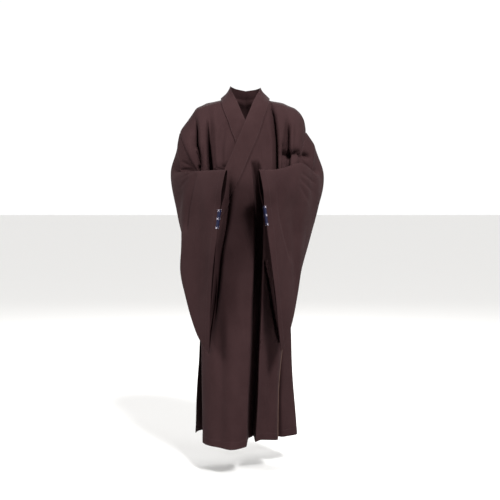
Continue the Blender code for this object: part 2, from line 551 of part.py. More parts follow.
def sleeve(name, table, folds, left):
    """A deep tube from the armhole over the bent elbow to the open mouth, as two solids."""
    angle = np.linspace(0.0, np.pi, SLEEVE_ROUND // 2 + 1)
    share = (1.0 - np.cos(angle)) / 2
    front, back = armhole(left, share)
    front[0], front[-1] = (front[0] + back[0]) / 2, (front[-1] + back[-1]) / 2
    rings = [np.concatenate([front, back[-2:0:-1]])]
    for entry in table:
        named = dict(zip(SLEEVE, entry))
        start, end, bend = (np.array(named[key]) for key in ("top", "bottom", "bend"))
        line = start + (end - start) * share[:, None] + bend * (4.0 * share * (1.0 - share))[:, None]
        turn = np.radians(named["turn"])
        towards = np.array((np.cos(turn), np.sin(turn), 0.0))
        left_over = 1.0 + (named["hang"] - 1.0) * smooth_step(SLEEVE_STARTS, named["closed_by"], share)
        stand = np.abs(np.sin(angle)) ** SLEEVE_POWER * left_over
        inner = line - towards * (named["inner"] * stand)[:, None]
        outer = line + towards * (named["outer"] * stand)[:, None]
        rings.append(np.concatenate([inner, outer[-2:0:-1]]))
    for length, at in (("upper", UPPER_SLEEVE), ("lower", LOWER_SLEEVE)):
        grid = through(range(len(rings)), np.array(rings), at)
        grid = sleeve_folds(grid, at, folds, np.concatenate([share, share[-2:0:-1]]))
        grid_object(f"{name}_{length}", grid if left else grid[:, ::-1], True, BROWN, CLOTH)


clear_scene()
robe = bpy.data.collections.new("Buddhist monk robe")
bpy.context.scene.collection.children.link(robe)
for half, left in (("left", True), ("right", False)):
    for face, is_front in (("front", True), ("back", False)):
        body_panel(f"body_{half}_{face}_upper", left, is_front, UPPER_ROWS)
        body_panel(f"body_{half}_{face}_lower", left, is_front, LOWER_ROWS)
overlap_panel("front_overlap")
neckband("neckband_left", NECK_LEFT, SEAM_LEFT, True)
neckband("neckband_right", NECK_RIGHT, SEAM_RIGHT, False)
sleeve("sleeve_left", SLEEVE_LEFT, SLEEVE_FOLDS_LEFT, True)
sleeve("sleeve_right", SLEEVE_RIGHT, SLEEVE_FOLDS_RIGHT, False)
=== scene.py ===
import bpy
import numpy as np
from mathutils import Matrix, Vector


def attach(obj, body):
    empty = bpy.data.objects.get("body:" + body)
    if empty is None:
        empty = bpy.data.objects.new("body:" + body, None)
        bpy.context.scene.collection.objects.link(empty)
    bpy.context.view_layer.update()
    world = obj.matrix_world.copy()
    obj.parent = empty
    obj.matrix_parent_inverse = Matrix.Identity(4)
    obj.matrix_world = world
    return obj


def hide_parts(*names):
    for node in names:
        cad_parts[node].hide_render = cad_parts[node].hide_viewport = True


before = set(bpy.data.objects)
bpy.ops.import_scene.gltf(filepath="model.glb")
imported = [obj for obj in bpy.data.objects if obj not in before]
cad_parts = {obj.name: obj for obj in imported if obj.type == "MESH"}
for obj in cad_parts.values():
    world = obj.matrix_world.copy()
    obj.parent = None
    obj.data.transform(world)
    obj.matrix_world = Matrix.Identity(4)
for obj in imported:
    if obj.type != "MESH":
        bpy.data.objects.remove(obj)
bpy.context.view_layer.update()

# ---------------------------------------------------------------------------------------------------
# Studio. A pale matt floor just under the hem, where the wearer would stand, an even pale surround that
# gives more light from behind, a far and wide soft source high in front, and four soft boxes round it.
FLOOR_Z = -1.300
FLOOR_HALF = 60.0
FLOOR_HEX = "#fcfbf9"
SURROUND_HEX = "#f6f6f6"
SEEN_STRENGTH = 1.12  # of the surround as the camera sees it
BACK_STRENGTH, FRONT_STRENGTH = 0.80, 0.13  # and of the light it gives, more from behind the robe
TURNS_AT = (-0.1, 0.5)  # directions, front (-1) to back (1), between which the one gives way to the other
SKY_PLACE, SKY_STRENGTH, SKY_SPREAD = (1.3, -3.3, 3.2), 2.35, 8.0  # its spread in degrees
# name, place, aimed at, width, height, watts
SOFT_BOXES = (
    ("key_box", (0.8, -1.9, 1.2), (0.0, 0.0, -0.1), 0.9, 0.7, 26.0),
    ("left_box", (-2.3, -2.2, 0.7), (0.0, 0.0, -0.2), 1.2, 1.0, 66.0),
    ("right_box", (2.5, -1.7, 0.7), (0.0, 0.0, -0.2), 1.2, 1.0, 26.0),
    ("back_box", (0.0, 3.2, 2.0), (0.0, 0.0, -0.6), 1.6, 1.2, 80.0),
)
CAMERA_PLACE = (0.016, -3.500, -0.350)
CAMERA_AIM = (0.016, 0.000, -0.526)
SENSOR_WIDTH = 36.0
FOCAL_LENGTH = 71.47


def linear(hex_colour):
    """An sRGB hex colour as linear RGBA."""
    channels = [int(hex_colour[i : i + 2], 16) / 255 for i in (1, 3, 5)]
    return tuple(c / 12.92 if c <= 0.04045 else ((c + 0.055) / 1.055) ** 2.4 for c in channels) + (1.0,)


def node(tree, kind, settings=(), values=(), links=()):
    """Adds a node: settings by attribute, values by socket, and links as (input socket, output socket)."""
    made = tree.nodes.new(kind)
    for name, value in dict(settings).items():
        setattr(made, name, value)
    for socket, value in dict(values).items():
        made.inputs[socket].default_value = value
    for socket, source in dict(links).items():
        tree.links.new(made.inputs[socket], source)
    return made


def material(name, values):
    """A new material with constants on its shader's own sockets; also its node tree and that shader."""
    made = bpy.data.materials.new(name)
    made.use_nodes = True
    shader = made.node_tree.nodes["Principled BSDF"]
    for socket, value in values.items():
        shader.inputs[socket].default_value = value
    return made, made.node_tree, shader


def in_scene(name, data, place=(0.0, 0.0, 0.0), aim=None):
    """A new object in the scene, at its place and, where aim is given, looking at that point."""
    made = bpy.data.objects.new(name, data)
    made.location = place
    if aim is not None:
        made.rotation_euler = (Vector(aim) - Vector(place)).to_track_quat("-Z", "Y").to_euler()
    bpy.context.scene.collection.objects.link(made)
    return made


# Matt painted studio floor: a plain near-white face without gloss.
floor_paint, _, _ = material("matt_studio_floor", {"Base Color": linear(FLOOR_HEX), "Roughness": 0.9})
floor_mesh = bpy.data.meshes.new("floor")
floor_corners = [(x * FLOOR_HALF, y * FLOOR_HALF, FLOOR_Z) for x, y in ((-1, -1), (1, -1), (1, 1), (-1, 1))]
floor_mesh.from_pydata(floor_corners, [], [(0, 1, 2, 3)])
floor_mesh.materials.append(floor_paint)
floor = in_scene("floor", floor_mesh)
floor.visible_diffuse = False  # it throws no light back up onto the cloth

surround = bpy.data.worlds.new("surround")
surround.use_nodes = True
surround_tree = surround.node_tree
surround_light = surround_tree.nodes["Background"]
surround_light.inputs["Color"].default_value = linear(SURROUND_HEX)
towards = node(surround_tree, "ShaderNodeTexCoord")
along = node(surround_tree, "ShaderNodeSeparateXYZ", links={"Vector": towards.outputs["Generated"]})
shade = node(
    surround_tree, "ShaderNodeMapRange",
    values={
        "From Min": TURNS_AT[0], "From Max": TURNS_AT[1], "To Min": FRONT_STRENGTH, "To Max": BACK_STRENGTH,
    },
    links={"Value": along.outputs["Y"]},
)
rays = node(surround_tree, "ShaderNodeLightPath")
seen = node(
    surround_tree, "ShaderNodeMix", {"data_type": "FLOAT"}, {"B": SEEN_STRENGTH},
    {"Factor": rays.outputs["Is Camera Ray"], "A": shade.outputs["Result"]},
)
surround_tree.links.new(surround_light.inputs["Strength"], seen.outputs["Result"])
bpy.context.scene.world = surround
bpy.context.scene.view_settings.view_transform = "Standard"

sky = bpy.data.lights.new("sky", "SUN")
sky.energy = SKY_STRENGTH
sky.angle = np.radians(SKY_SPREAD)
in_scene("sky", sky, SKY_PLACE, (0.0, 0.0, 0.0))
for box_name, place, aim, box_width, box_height, watts in SOFT_BOXES:
    lamp = bpy.data.lights.new(box_name, "AREA")
    lamp.shape = "RECTANGLE"
    lamp.size = box_width
    lamp.size_y = box_height
    lamp.energy = watts
    in_scene(box_name, lamp, place, aim)

lens = bpy.data.cameras.new("camera")
lens.sensor_width = SENSOR_WIDTH
lens.lens = FOCAL_LENGTH
bpy.context.scene.camera = in_scene("camera", lens, CAMERA_PLACE, CAMERA_AIM)

# ---------------------------------------------------------------------------------------------------
# Body, wearer's left. Plain-weave cloth cut front and back in one length and folded at the shoulder,
# sewn to the other half down the centre back; its front carries the outer, overlapping front.
WALL = 0.0011  # cloth with its turned edges, as one thin shell
LAYER = 0.0076  # from the middle of the inner front to the middle of the outer front
# Sections from the shoulder fold to the hem, in millimetres. z_mid is on the centre line and z_side at
# the side; x_mid is where the centre line runs; the widths and depths are those of the wearer's right
# (r) and left (l) half, and y_r and y_l are where the side edges lie.
SECTION = ("z_mid", "z_side", "x_mid", "w_r", "w_l", "d_r", "d_l", "y_r", "y_l")
FRONT = (
    (14, -110, 0, 230, 212, 12, 12, 12, 12),  # shoulder fold
    (6, -116, 0, 229, 211, -38, -38, -16, -16),
    (-22, -135, 0, 222, 206, -80, -80, -46, -46),
    (-70, -165, 0, 208, 198, -112, -112, -72, -70),
    (-130, -205, 10, 190, 186, -126, -126, -86, -82),
    (-200, -252, 28, 173, 174, -130, -130, -86, -82),  # elbow crook
    (-290, -325, 44, 164, 165, -130, -128, -60, -56),
    (-390, -410, 48, 160, 160, -132, -126, -0.6, -0.6),  # underarm
    (-530, -535, 46, 159, 157, -138, -124, 4, 4),
    (-690, -690, 40, 158, 152, -148, -120, 2, 4),
    (-860, -855, 33, 154, 128, -162, -114, -10, -30),  # top of the side slits
    (-1030, -1020, 26, 150, 116, -174, -108, -18, -44),
    (-1198, -1190, 19, 148, 111, -184, -102, -22, -50),  # hem
)
BACK = (
    (14, -110, 0, 230, 212, 12, 12, 12, 12),  # shoulder fold
    (10, -115, 0, 229, 211, 52, 52, 36, 36),
    (-20, -132, 0, 222, 206, 86, 86, 60, 60),
    (-70, -165, 0, 208, 198, 104, 104, 80, 80),
    (-130, -205, 0, 190, 186, 114, 114, 86, 86),
    (-200, -252, 0, 173, 174, 117, 117, 82, 82),
    (-290, -325, 0, 164, 165, 114, 114, 54, 54),
    (-390, -410, 0, 160, 160, 108, 108, 1.2, 1.2),  # underarm
    (-530, -535, 0, 159, 157, 108, 108, 5.2, 5.2),
    (-690, -690, 0, 158, 156, 114, 114, 4, 6),
    (-860, -855, 0, 163, 164, 122, 122, 26, 24),  # top of the side slits
    (-1030, -1020, 0, 172, 172, 132, 132, 40, 34),
    (-1190, -1190, 0, 179, 185, 140, 140, 50, 36),  # hem
)
LAST_ROW = 12.0
UNDERARM = 7  # the row of both tables where the sleeve seam ends
# The horizontal cut of each half is a squared-off quarter of an ellipse, raised to these powers.
SIDE_POWER, FRONT_POWER = 0.86, 0.80
HALVES_BLEND = 0.25  # share of the half width over which the two halves' depths run together
# How far the back panel's side turns forward past the side line below the slit, in quarter turns.
BACK_WRAP_LEFT = ((0.0, 0.0), (9.0, 0.0), (9.3, 0.14), (9.7, 0.29), (10.0, 0.49), (10.3, 0.59), (12.0, 0.68))
WRAP_FLATNESS = 0.42  # and how flat that part stays
# The shoulder line: how much of the fall to the side is reached at each share of the half width.
FALL_RIGHT = ((0.0, 0.0), (0.33, 0.09), (0.60, 0.21), (0.76, 0.35), (0.83, 0.56), (0.90, 0.75), (1.0, 1.0))
FALL_LEFT = ((0.0, 0.0), (0.35, 0.09), (0.62, 0.21), (0.82, 0.33), (0.92, 0.50), (0.975, 0.68), (1.0, 1.0))
SHOULDER_ROWS = (4.0, 7.0)  # where the shoulder line gives way to level sections
# Folds hang as troughs: depth and width in millimetres, whether the lower end stays open (1) or fades
# out (0), and the path as (x, z) in millimetres.
FRONT_FOLDS = (
    (12, 9, 1, ((-182, -45), (-174, -160), (-166, -260))),
    (14, 15, 0, ((-128, -10), (-124, -140), (-117, -260), (-112, -410))),
    (20, 9, 1, ((88, -2), (98, -90), (103, -160), (101, -300))),
    (18, 10, 1, ((150, -40), (143, -130), (143, -250), (140, -360))),
    (6, 12, 0, ((-65, -60), (-85, -150), (-90, -250))),
    (42, 11, 0, ((-50, -240), (-56, -340), (-69, -430), (-88, -520), (-124, -850))),
    (12, 16, 0, ((85, -500), (90, -800), (88, -1200))),
    (10, 20, 0, ((-85, -700), (-80, -1000), (-90, -1300))),
)
BACK_FOLDS = (
    (14, 13, 0, ((-125, -60), (-118, -250), (-105, -550))),
    (14, 13, 0, ((128, -50), (120, -250), (110, -520))),
    (22, 22, 0, ((-70, -350), (-78, -800), (-88, -1400))),
    (20, 24, 0, ((62, -300), (75, -800), (80, -1400))),
    (16, 18, 0, ((-128, -560), (-136, -900), (-140, -1400))),
    (16, 18, 0, ((122, -600), (134, -900), (142, -1400))),
    (10, 20, 0, ((-12, -450), (-10, -800), (6, -1400))),
)
FOLD_FADE = 0.3  # share of the path over which a fold fades in and out
FOLD_END = 0.02  # how far a trough that fades out runs past its last point
OPEN_END = 0.06  # and one that ends open
FOLD_ROWS = (0.0, 2.0)  # below the shoulder, where the folds begin
FOLD_DRAW = 0.7  # how much of a fold's depth it also draws the sides in by
# The outer front falls into one deep fold along its centre seam, flat at its bottom: row and depth.
CENTRE_FOLD = (
    (0.0, 0.000), (5.2, 0.000), (5.8, 0.040), (6.3, 0.068),
    (7.0, 0.082), (8.0, 0.092), (10.0, 0.106), (12.0, 0.114),
)
CENTRE_FOLD_WIDTH, CENTRE_FOLD_POWER = 0.0145, 8  # the higher the power, the flatter its bottom
# How much higher than the wearer's right front the left one hangs beside that fold.
LEFT_FRONT_RISE = ((0.0, 0.0), (8.0, 0.0), (10.0, 0.009), (12.0, 0.022))


def smooth_step(low, high, value):
    share = np.clip((value - low) / (high - low), 0.0, 1.0)
    return share * share * (3.0 - 2.0 * share)


def through(knots, values, at):
    """A smooth curve through the values at the knots, flat where it would overshoot."""
    knots = np.asarray(knots, float)
    values = np.asarray(values, float)
    at = np.clip(np.asarray(at, float), knots[0], knots[-1])
    tail = (1,) * (values.ndim - 1)
    slopes = np.diff(values, axis=0) / np.diff(knots).reshape(-1, *tail)
    tangents = np.zeros_like(values)
    tangents[0], tangents[-1] = slopes[0], slopes[-1]
    before, after = slopes[:-1], slopes[1:]
    total = np.where(np.abs(before + after) < 1e-12, 1.0, before + after)
    tangents[1:-1] = np.where(before * after > 0.0, 2.0 * before * after / total, 0.0)
    place = np.clip(np.searchsorted(knots, at, side="right") - 1, 0, len(knots) - 2)
    span = (knots[place + 1] - knots[place]).reshape(at.shape + tail)
    share = (at - knots[place]).reshape(at.shape + tail) / span
    rise = smooth_step(0.0, 1.0, share)
    leaving = share * (1.0 - share) ** 2 * span
    arriving = share**2 * (share - 1.0) * span
    ends = values[place] * (1.0 - rise) + values[place + 1] * rise
    return ends + tangents[place] * leaving + tangents[place + 1] * arriving


def pairs(table, at):
    return np.interp(at, *zip(*table))


def unit(vectors):
    return vectors / np.maximum(np.linalg.norm(vectors, axis=-1, keepdims=True), 1e-12)


def fold_depth(folds, x, z):
    """How far the troughs push the cloth in at (x, z)."""
    total = np.zeros_like(x)
    for depth, width, ends_open, path in folds:
        xs, zs = np.array(path)[::-1].T / 1000
        middle = np.interp(z, zs, xs)
        length = zs[-1] - zs[0]
        fade = smooth_step(zs[-1], zs[-1] - FOLD_FADE * length, z)
        if ends_open:
            fade = fade * smooth_step(zs[0] - OPEN_END, zs[0], z)
        else:
            fade = fade * smooth_step(zs[0] - FOLD_END, zs[0] + FOLD_FADE * length, z)
        total += depth / 1000 * fade * np.exp(-(((x - middle) / (width / 1000)) ** 2))
    return total


def body_surface(across, row, is_front, centre_fold=True):
    """A point of the front or the back. across runs from -1, the wearer's right side, to 1."""
    share = np.abs(across)
    left = across >= 0.0
    outward = np.where(left, 1.0, -1.0)
    turn = share * np.pi / 2
    if not is_front:
        turn = turn * (1.0 + np.where(left, pairs(BACK_WRAP_LEFT, row), 0.0))
    wide = np.sin(turn) ** SIDE_POWER
    deep = np.sign(np.cos(turn)) * np.abs(np.cos(turn)) ** FRONT_POWER
    table = np.array(FRONT if is_front else BACK) / 1000
    named = {name: through(range(len(table)), table[:, k], row) for k, name in enumerate(SECTION)}
    width = np.where(left, named["w_l"], named["w_r"])
    middle = named["x_mid"]
    x = middle + outward * wide * (width - outward * middle)
    side_y = np.where(left, named["y_l"], named["y_r"])
    blend = smooth_step(-HALVES_BLEND, HALVES_BLEND, across)
    depth = named["d_r"] * (1.0 - blend) + named["d_l"] * blend
    y = side_y + (depth - side_y) * np.where(deep < 0.0, WRAP_FLATNESS * deep, deep)
    reach = np.clip(np.abs(x) / width, 0.0, 1.0)
    fall = np.where(left, pairs(FALL_LEFT, reach), pairs(FALL_RIGHT, reach))
    level = smooth_step(*SHOULDER_ROWS, row)
    fall = fall * (1.0 - level) + share * level
    z_mid = named["z_mid"]
    if is_front:
        z_mid = z_mid + pairs(LEFT_FRONT_RISE, row) * blend
    z = z_mid + (named["z_side"] - z_mid) * fall
    inward = fold_depth(FRONT_FOLDS if is_front else BACK_FOLDS, x, z) * smooth_step(*FOLD_ROWS, row)
    if is_front and centre_fold:
        off = (x - middle) / CENTRE_FOLD_WIDTH
        inward = inward + pairs(CENTRE_FOLD, row) * np.exp(-(off**CENTRE_FOLD_POWER))
    towards = 1.0 if is_front else -1.0
    return np.stack([x - outward * wide**3 * inward * FOLD_DRAW, y + towards * inward, z], axis=-1)


def body_point(across, row, is_front, lift, centre_fold=True):
    """A point of the body moved out of its surface by lift."""
    step, row_step = 1e-3, 1e-2
    kind = (is_front, centre_fold)
    along = body_surface(across + step, row, *kind) - body_surface(across - step, row, *kind)
    down = body_surface(across, row + row_step, *kind) - body_surface(across, row - row_step, *kind)
    out = unit(np.cross(along, down))
    out = -out if is_front else out
    return body_surface(across, row, *kind) + out * np.asarray(lift)[..., None]


# The two fronts lie in layers. The numbers are shares of the half width, -1 being the wearer's right.
OUTER_RISE = (-0.45, -0.85)  # where the outer front climbs over the inner one's side seam
INNER_DROP = (-0.98, -0.62)  # where the inner front drops behind the outer one
INNER_CLEAR = (-0.62, -0.20)  # and where it clears the fold at the centre
INNER_SINK_ROWS = (0.0, 2.6)  # the rows over which it sinks that far, down from the shoulder


def outer_lift(across):
    return LAYER * smooth_step(*OUTER_RISE, across)


def inner_lift(across, row):
    behind_fold = pairs(CENTRE_FOLD, row) * smooth_step(*INNER_CLEAR, across)
    sunk = smooth_step(*INNER_DROP, across) * smooth_step(*INNER_SINK_ROWS, row)
    return -(LAYER + behind_fold) * sunk


# The neckband, from the wearer's right side over the V and round the neck to the centre back. Its neck
# edge and its seam edge are (x, y, z) in millimetres; y is "front" or "back" where that edge lies on
# that panel.
NECK_LEFT = (
    (-153, "front", -424), (-124, "front", -362), (-95, "front", -300), (-66, "front", -236),
    (-31, "front", -155), (-3, "front", -88), (14, -99, -46), (26, -70, -14), (39, -36, 14), (50, 0, 37),
    (52, 32, 46), (36, 56, 42), (0, 68, 38),
)
SEAM_LEFT = (
    (-151, "front", -536), (-98, "front", -436), (-54, "front", -350), (-12, "front", -262),
    (22, "front", -182), (50, "front", -114), (64, "front", -70), (74, "front", -40), (81, "front", -16),
    (84, 12, 5), (76, 53, -1), (46, "back", -20), (0, "back", -28),
)
NECK_RIGHT = (
    (22, "front", -170), (14, "front", -130), (4, "front", -88), (-14, -95, -46), (-27, -70, -14),
    (-39, -36, 12), (-50, 0, 36), (-52, 30, 51), (-36, 56, 45), (0, 68, 38),
)
SEAM_RIGHT = (
    (-26, "front", -196), (-34, "front", -152), (-50, "front", -108), (-63, "front", -70),
    (-75, "front", -40), (-82, "front", -16), (-86, 12, 5.5), (-78, 53, -1), (-46, "back", -20),
    (0, "back", -28),
)
CHEST_SEAM_LEFT, CHEST_SEAM_RIGHT = SEAM_LEFT[2:10], SEAM_RIGHT[:7]  # the part that a panel's edge follows
UNDER_BAND = 0.010  # how far a panel's edge runs in under the neckband
INNER_EDGE = -0.02  # where the inner front ends below its neckband
INNER_EDGE_ROW = 5.4
BACK_NECK_ROW, BACK_NECK_POWER = 1.88, 2.3  # how far down the back the neck opening reaches, and how round
HALVINGS = 40  # of the search along a row, which make it exact


def where_past(line, shift, row):
    """The across value at which a row of the front passes the line of stations, moved by shift."""
    heights, places = zip(*sorted((z / 1000, x / 1000) for x, _, z in line))
    low, high = np.full_like(row, -1.0), np.full_like(row, 1.0)
    for _ in range(HALVINGS):
        middle = (low + high) / 2
        x, _, z = body_surface(middle, row, True).T
        below = x - np.interp(z, heights, places) - shift < 0.0
        low, high = np.where(below, middle, low), np.where(below, high, middle)
    return (low + high) / 2


def inner_edges(rows, is_front, left):
    """The across value at which a body panel ends towards the middle, on each row."""
    seam, shift = (CHEST_SEAM_LEFT, -UNDER_BAND) if left else (CHEST_SEAM_RIGHT, UNDER_BAND)
    if is_front:
        under = where_past(seam, shift, rows)
        if left:
            return np.maximum(under, 0.0)
        return np.minimum(np.where(rows < INNER_EDGE_ROW, under, INNER_EDGE), INNER_EDGE)
    neck = where_past(seam[-1:], shift, np.array([0.0]))[0]
    power = BACK_NECK_POWER
    return neck * np.clip(1.0 - (rows / BACK_NECK_ROW) ** power, 0.0, 1.0) ** (1 / power)


# Creases, as soft troughs or ridges: depth inwards and width on the wearer's right and left of the path
# in millimetres, the shares of the path over which it fades in and out, and the path as (x, z).
FRONT_CREASES = (
    (14, 12, 12, 0.3, 0.04, ((110, -190), (140, -197), (162, -198), (190, -192))),
    (9, 12, 12, 0.5, 0.05, ((-146, -150), (-146, -200), (-143, -262))),
    (5, 4, 9, 0.3, 0.1, ((-173, -50), (-168, -179), (-160, -250))),
    (4, 6, 4, 0.4, 0.1, ((-120, -50), (-119, -150), (-112, -270))),
    (3, 8, 12, 0.4, 0.3, ((-96, -6), (-98, -50), (-94, -110))),
    (3, 10, 6, 0.4, 0.2, ((-70, -90), (-78, -170), (-80, -260))),
    (5, 4, 8, 0.15, 0.05, ((80, 0), (96, -60), (104, -155), (105, -280))),
    (-3, 8, 10, 0.3, 0.1, ((70, -50), (88, -150), (92, -270))),
    (3.5, 4, 7, 0.35, 0.1, ((151, -60), (146, -145), (148, -260))),
    (3, 6, 10, 0.4, 0.2, ((176, -70), (170, -140), (164, -240))),
    (5, 10, 14, 0.3, 0.3, ((132, -130), (128, -190), (124, -270))),
    (2.5, 14, 10, 0.4, 0.4, ((40, -130), (48, -190), (52, -290))),
    (6.5, 14, 14, 0.4, 0.15, ((114, -186), (150, -204), (186, -192))),
    (3, 18, 24, 0.4, 0.4, ((-20, -500), (-40, -700), (-50, -980))),
    (-2.5, 20, 18, 0.4, 0.4, ((-60, -620), (-66, -860), (-70, -1150))),
    (2.8, 16, 22, 0.5, 0.1, ((-118, -900), (-112, -1050), (-110, -1220))),
    (2.2, 16, 14, 0.4, 0.1, ((78, -760), (82, -960), (78, -1200))),
    (-2, 12, 14, 0.4, 0.1, ((62, -680), (60, -940), (56, -1200))),
)
BACK_CREASES = (
    (4.5, 5, 9, 0.35, 0.2, ((-168, -60), (-160, -200), (-150, -360))),
    (4.5, 9, 5, 0.35, 0.2, ((170, -55), (163, -190), (152, -350))),
    (3, 10, 14, 0.4, 0.4, ((-60, -40), (-64, -160), (-58, -330))),
    (3, 12, 10, 0.4, 0.4, ((70, -50), (66, -180), (64, -300))),
    (-3, 16, 18, 0.4, 0.15, ((-36, -500), (-40, -820), (-52, -1180))),
    (3.5, 12, 20, 0.5, 0.1, ((30, -620), (36, -900), (46, -1180))),
    (3.5, 18, 12, 0.5, 0.1, ((-108, -700), (-112, -940), (-120, -1180))),
    (-2.5, 14, 16, 0.4, 0.2, ((100, -760), (106, -980), (112, -1180))),
)
# Sharper folds whose one lip hangs over the trough: depth, half width, how far the lip leans over
# (towards the wearer's left where positive), the same fades, and the path.
FRONT_TUCKS = (
    (7, 4.5, 3, 0.25, 0.05, ((-175, -55), (-168, -150), (-160, -270))),
    (13, 5, 5, 0.25, 0.02, ((82, 0), (97, -60), (104.5, -155), (105, -300))),
    (8, 5, 3, 0.3, 0.02, ((150, -75), (145.5, -145), (149, -270))),
    (10, 7, 5, 0.2, 0.2, ((126, -155), (129, -195), (131, -240))),
)
BACK_TUCKS = (
    (12, 6, -6, 0.35, 0.3, ((-150, -90), (-146, -200), (-140, -400))),
    (12, 6, 6, 0.35, 0.3, ((154, -80), (148, -210), (139, -380))),
)
# Narrow folds that go straight in, flat at the bottom: depth, half width where they start and where
# they end, the same fades, and the path.
FRONT_CHANNELS = (
    (36, 2.5, 8.5, 0.8, 0.02, ((-131, -50), (-129, -90), (-126.5, -145), (-118, -260))),
    (12, 3, 4, 0.4, 0.05, ((-172, -70), (-168, -170), (-160, -255))),
    (18, 2.5, 4.5, 0.3, 0.02, ((92, -30), (102.5, -120), (105, -170), (106, -280))),
    (11, 6, 5, 0.5, 0.3, ((122, -170), (127, -190), (132, -205))),
    (10, 2.5, 4, 0.3, 0.05, ((147, -80), (142.5, -120), (141.8, -170), (146, -262))),
    (34, 3, 7.5, 0.5, 0.1, ((56, -500), (72, -600), (98, -750), (120, -870))),
    (34, 3, 7, 0.6, 0.1, ((-98, -560), (-107, -690), (-122, -800), (-129, -880))),
)
LIP_PLACE, LIP_WIDTH = 0.8, 1.1  # where a tuck's lip lies and how wide it is, in half widths
CHANNEL_POWER = 6  # how flat the narrow folds are at the bottom


def run_length(points, axis=0):
    """How far along the cloth each point lies from the first one, down (0) or across (1) the grid."""
    steps = np.linalg.norm(np.diff(points, axis=axis), axis=-1)
    return np.concatenate([np.zeros_like(steps.take([0], axis)), steps.cumsum(axis)], axis)


def beside(path, reach, x, z):
    """For points near a path of (x, z): which they are, how far to its left they lie, and how far along."""
    path = np.array(path) / 1000
    low, high = path.min(axis=0) - reach, path.max(axis=0) + reach
    near = (x > low[0]) & (x < high[0]) & (z > low[1]) & (z < high[1])
    px, pz = x[near], z[near]
    lengths = run_length(path)
    best = np.full(px.shape, np.inf)
    side, along = np.ones(px.shape), np.zeros(px.shape)
    for start, run, first, last in zip(path, np.diff(path, axis=0), lengths, lengths[1:]):
        share = np.clip(((px - start[0]) * run[0] + (pz - start[1]) * run[1]) / (run @ run), 0.0, 1.0)
        off_x, off_z = px - start[0] - share * run[0], pz - start[1] - share * run[1]
        off = np.hypot(off_x, off_z)
        closer = off < best
        best = np.where(closer, off, best)
        side = np.where(closer, np.sign(off_z * run[0] - off_x * run[1]), side)
        along = np.where(closer, (first + share * (last - first)) / lengths[-1], along)
    return near, best * side, along


def laid_out(folds, reach, x, z):
    """For each fold: its sizes in metres, the points near it, how far beside and along, and its fade."""
    for *sizes, fade_in, fade_out, path in folds:
        sizes = np.array(sizes) / 1000
        near, offset, along = beside(path, reach * sizes[1:].max(), x, z)
        fade = smooth_step(0.0, fade_in, along) * smooth_step(1.0, 1.0 - fade_out, along)
        yield sizes, near, offset, along, fade


def crease_field(creases, x, z):
    """How far the creases push the cloth in at (x, z)."""
    total = np.zeros_like(x)
    for (depth, to_right, to_left), near, offset, _, fade in laid_out(creases, 3.0, x, z):
        width = np.where(offset > 0.0, to_left, to_right)
        total[near] += depth * fade * np.exp(-((offset / width) ** 2))
    return total


def tuck_fields(tucks, x, z):
    """How far the tucks push the cloth in at (x, z), and how far they lean it to the wearer's left."""
    inward, across = np.zeros_like(x), np.zeros_like(x)
    for (depth, width, lean), near, offset, _, fade in laid_out(tucks, 4.0, x, z):
        inward[near] += depth * fade * np.exp(-((offset / width) ** 2))
        lip = offset + np.sign(lean) * LIP_PLACE * width
        across[near] += lean * fade * np.exp(-((lip / (LIP_WIDTH * width)) ** 2))
    return inward, across


def channel_field(channels, x, z):
    """How far the narrow folds push the cloth straight back at (x, z)."""
    total = np.zeros_like(x)
    for (depth, start, end), near, offset, along, fade in laid_out(channels, 3.0, x, z):
        width = start + (end - start) * smooth_step(0.0, 1.0, along)
        total[near] += depth * fade * np.exp(-((offset / width) ** CHANNEL_POWER))
    return total


# Slow unevenness of hanging cloth: height, how long its waves are across and down, and their number.
SWELL, SWELL_ACROSS, SWELL_DOWN, SWELL_WAVES = 0.0012, 0.085, 0.420, 7
SWELL_CREST = 2.6  # about how high that many waves of height 1 add up
FRONT_SEED, BACK_SEED = 11, 23


def swell(x, z, seed):
    """Soft uneven waves, from a few slanting cosines with fixed random phases."""
    draw = np.random.default_rng(seed)
    total = np.zeros_like(x)
    for _ in range(SWELL_WAVES):
        across = draw.uniform(0.6, 1.7) * draw.choice((-1.0, 1.0)) * 2 * np.pi / SWELL_ACROSS
        down = draw.uniform(0.4, 1.6) * 2 * np.pi / SWELL_DOWN
        total += np.cos(across * x + down * z + draw.uniform(0.0, 2 * np.pi))
    return total * SWELL / SWELL_CREST


def grid_normals(points, outward):
    """Unit normals of a grid of points, turned towards outward, a vector or a grid of them."""
    normal = unit(np.cross(np.gradient(points, axis=1), np.gradient(points, axis=0)))
    flip = np.sign((normal * outward).sum(axis=2, keepdims=True))
    return normal * np.where(flip == 0.0, 1.0, flip)


def face_normals(points, towards):
    """Unit normals of a grid, all on the side that faces towards on the whole."""
    normal = grid_normals(points, np.zeros(3))
    return normal * np.sign((normal * np.array(towards)).sum(axis=2).mean())


def interp_points(at, known, points):
    return np.stack([np.interp(at, known, points[:, k]) for k in range(3)], axis=-1)


def window_sum(padded, span):
    """Sums over span columns to either side, for a grid padded by that many on both sides."""
    total = np.concatenate([np.zeros_like(padded[:, :1]), padded.cumsum(axis=1)], axis=1)
    return total[:, 2 * span + 1 :] - total[:, : -2 * span - 1]


SAMPLES = 1300  # points measured over a row before its columns are spaced along the cloth
EVEN_OUT = 100  # of those points, over which the direction of a crease is evened out on each side
EASE_SPAN = 60  # and over which the shoulder's turns are eased at its outer end
EASE_DOWN = (3.5, 1.5)  # the rows over which that ends
EASE_ACROSS = (0.42, 0.60)  # the share of the half width over which it begins
EVENLY = 0.35  # share of the spacing that stays even in the cut, the rest following the cloth's length
OUT_RISE = 0.15  # how much out of the robe is also up


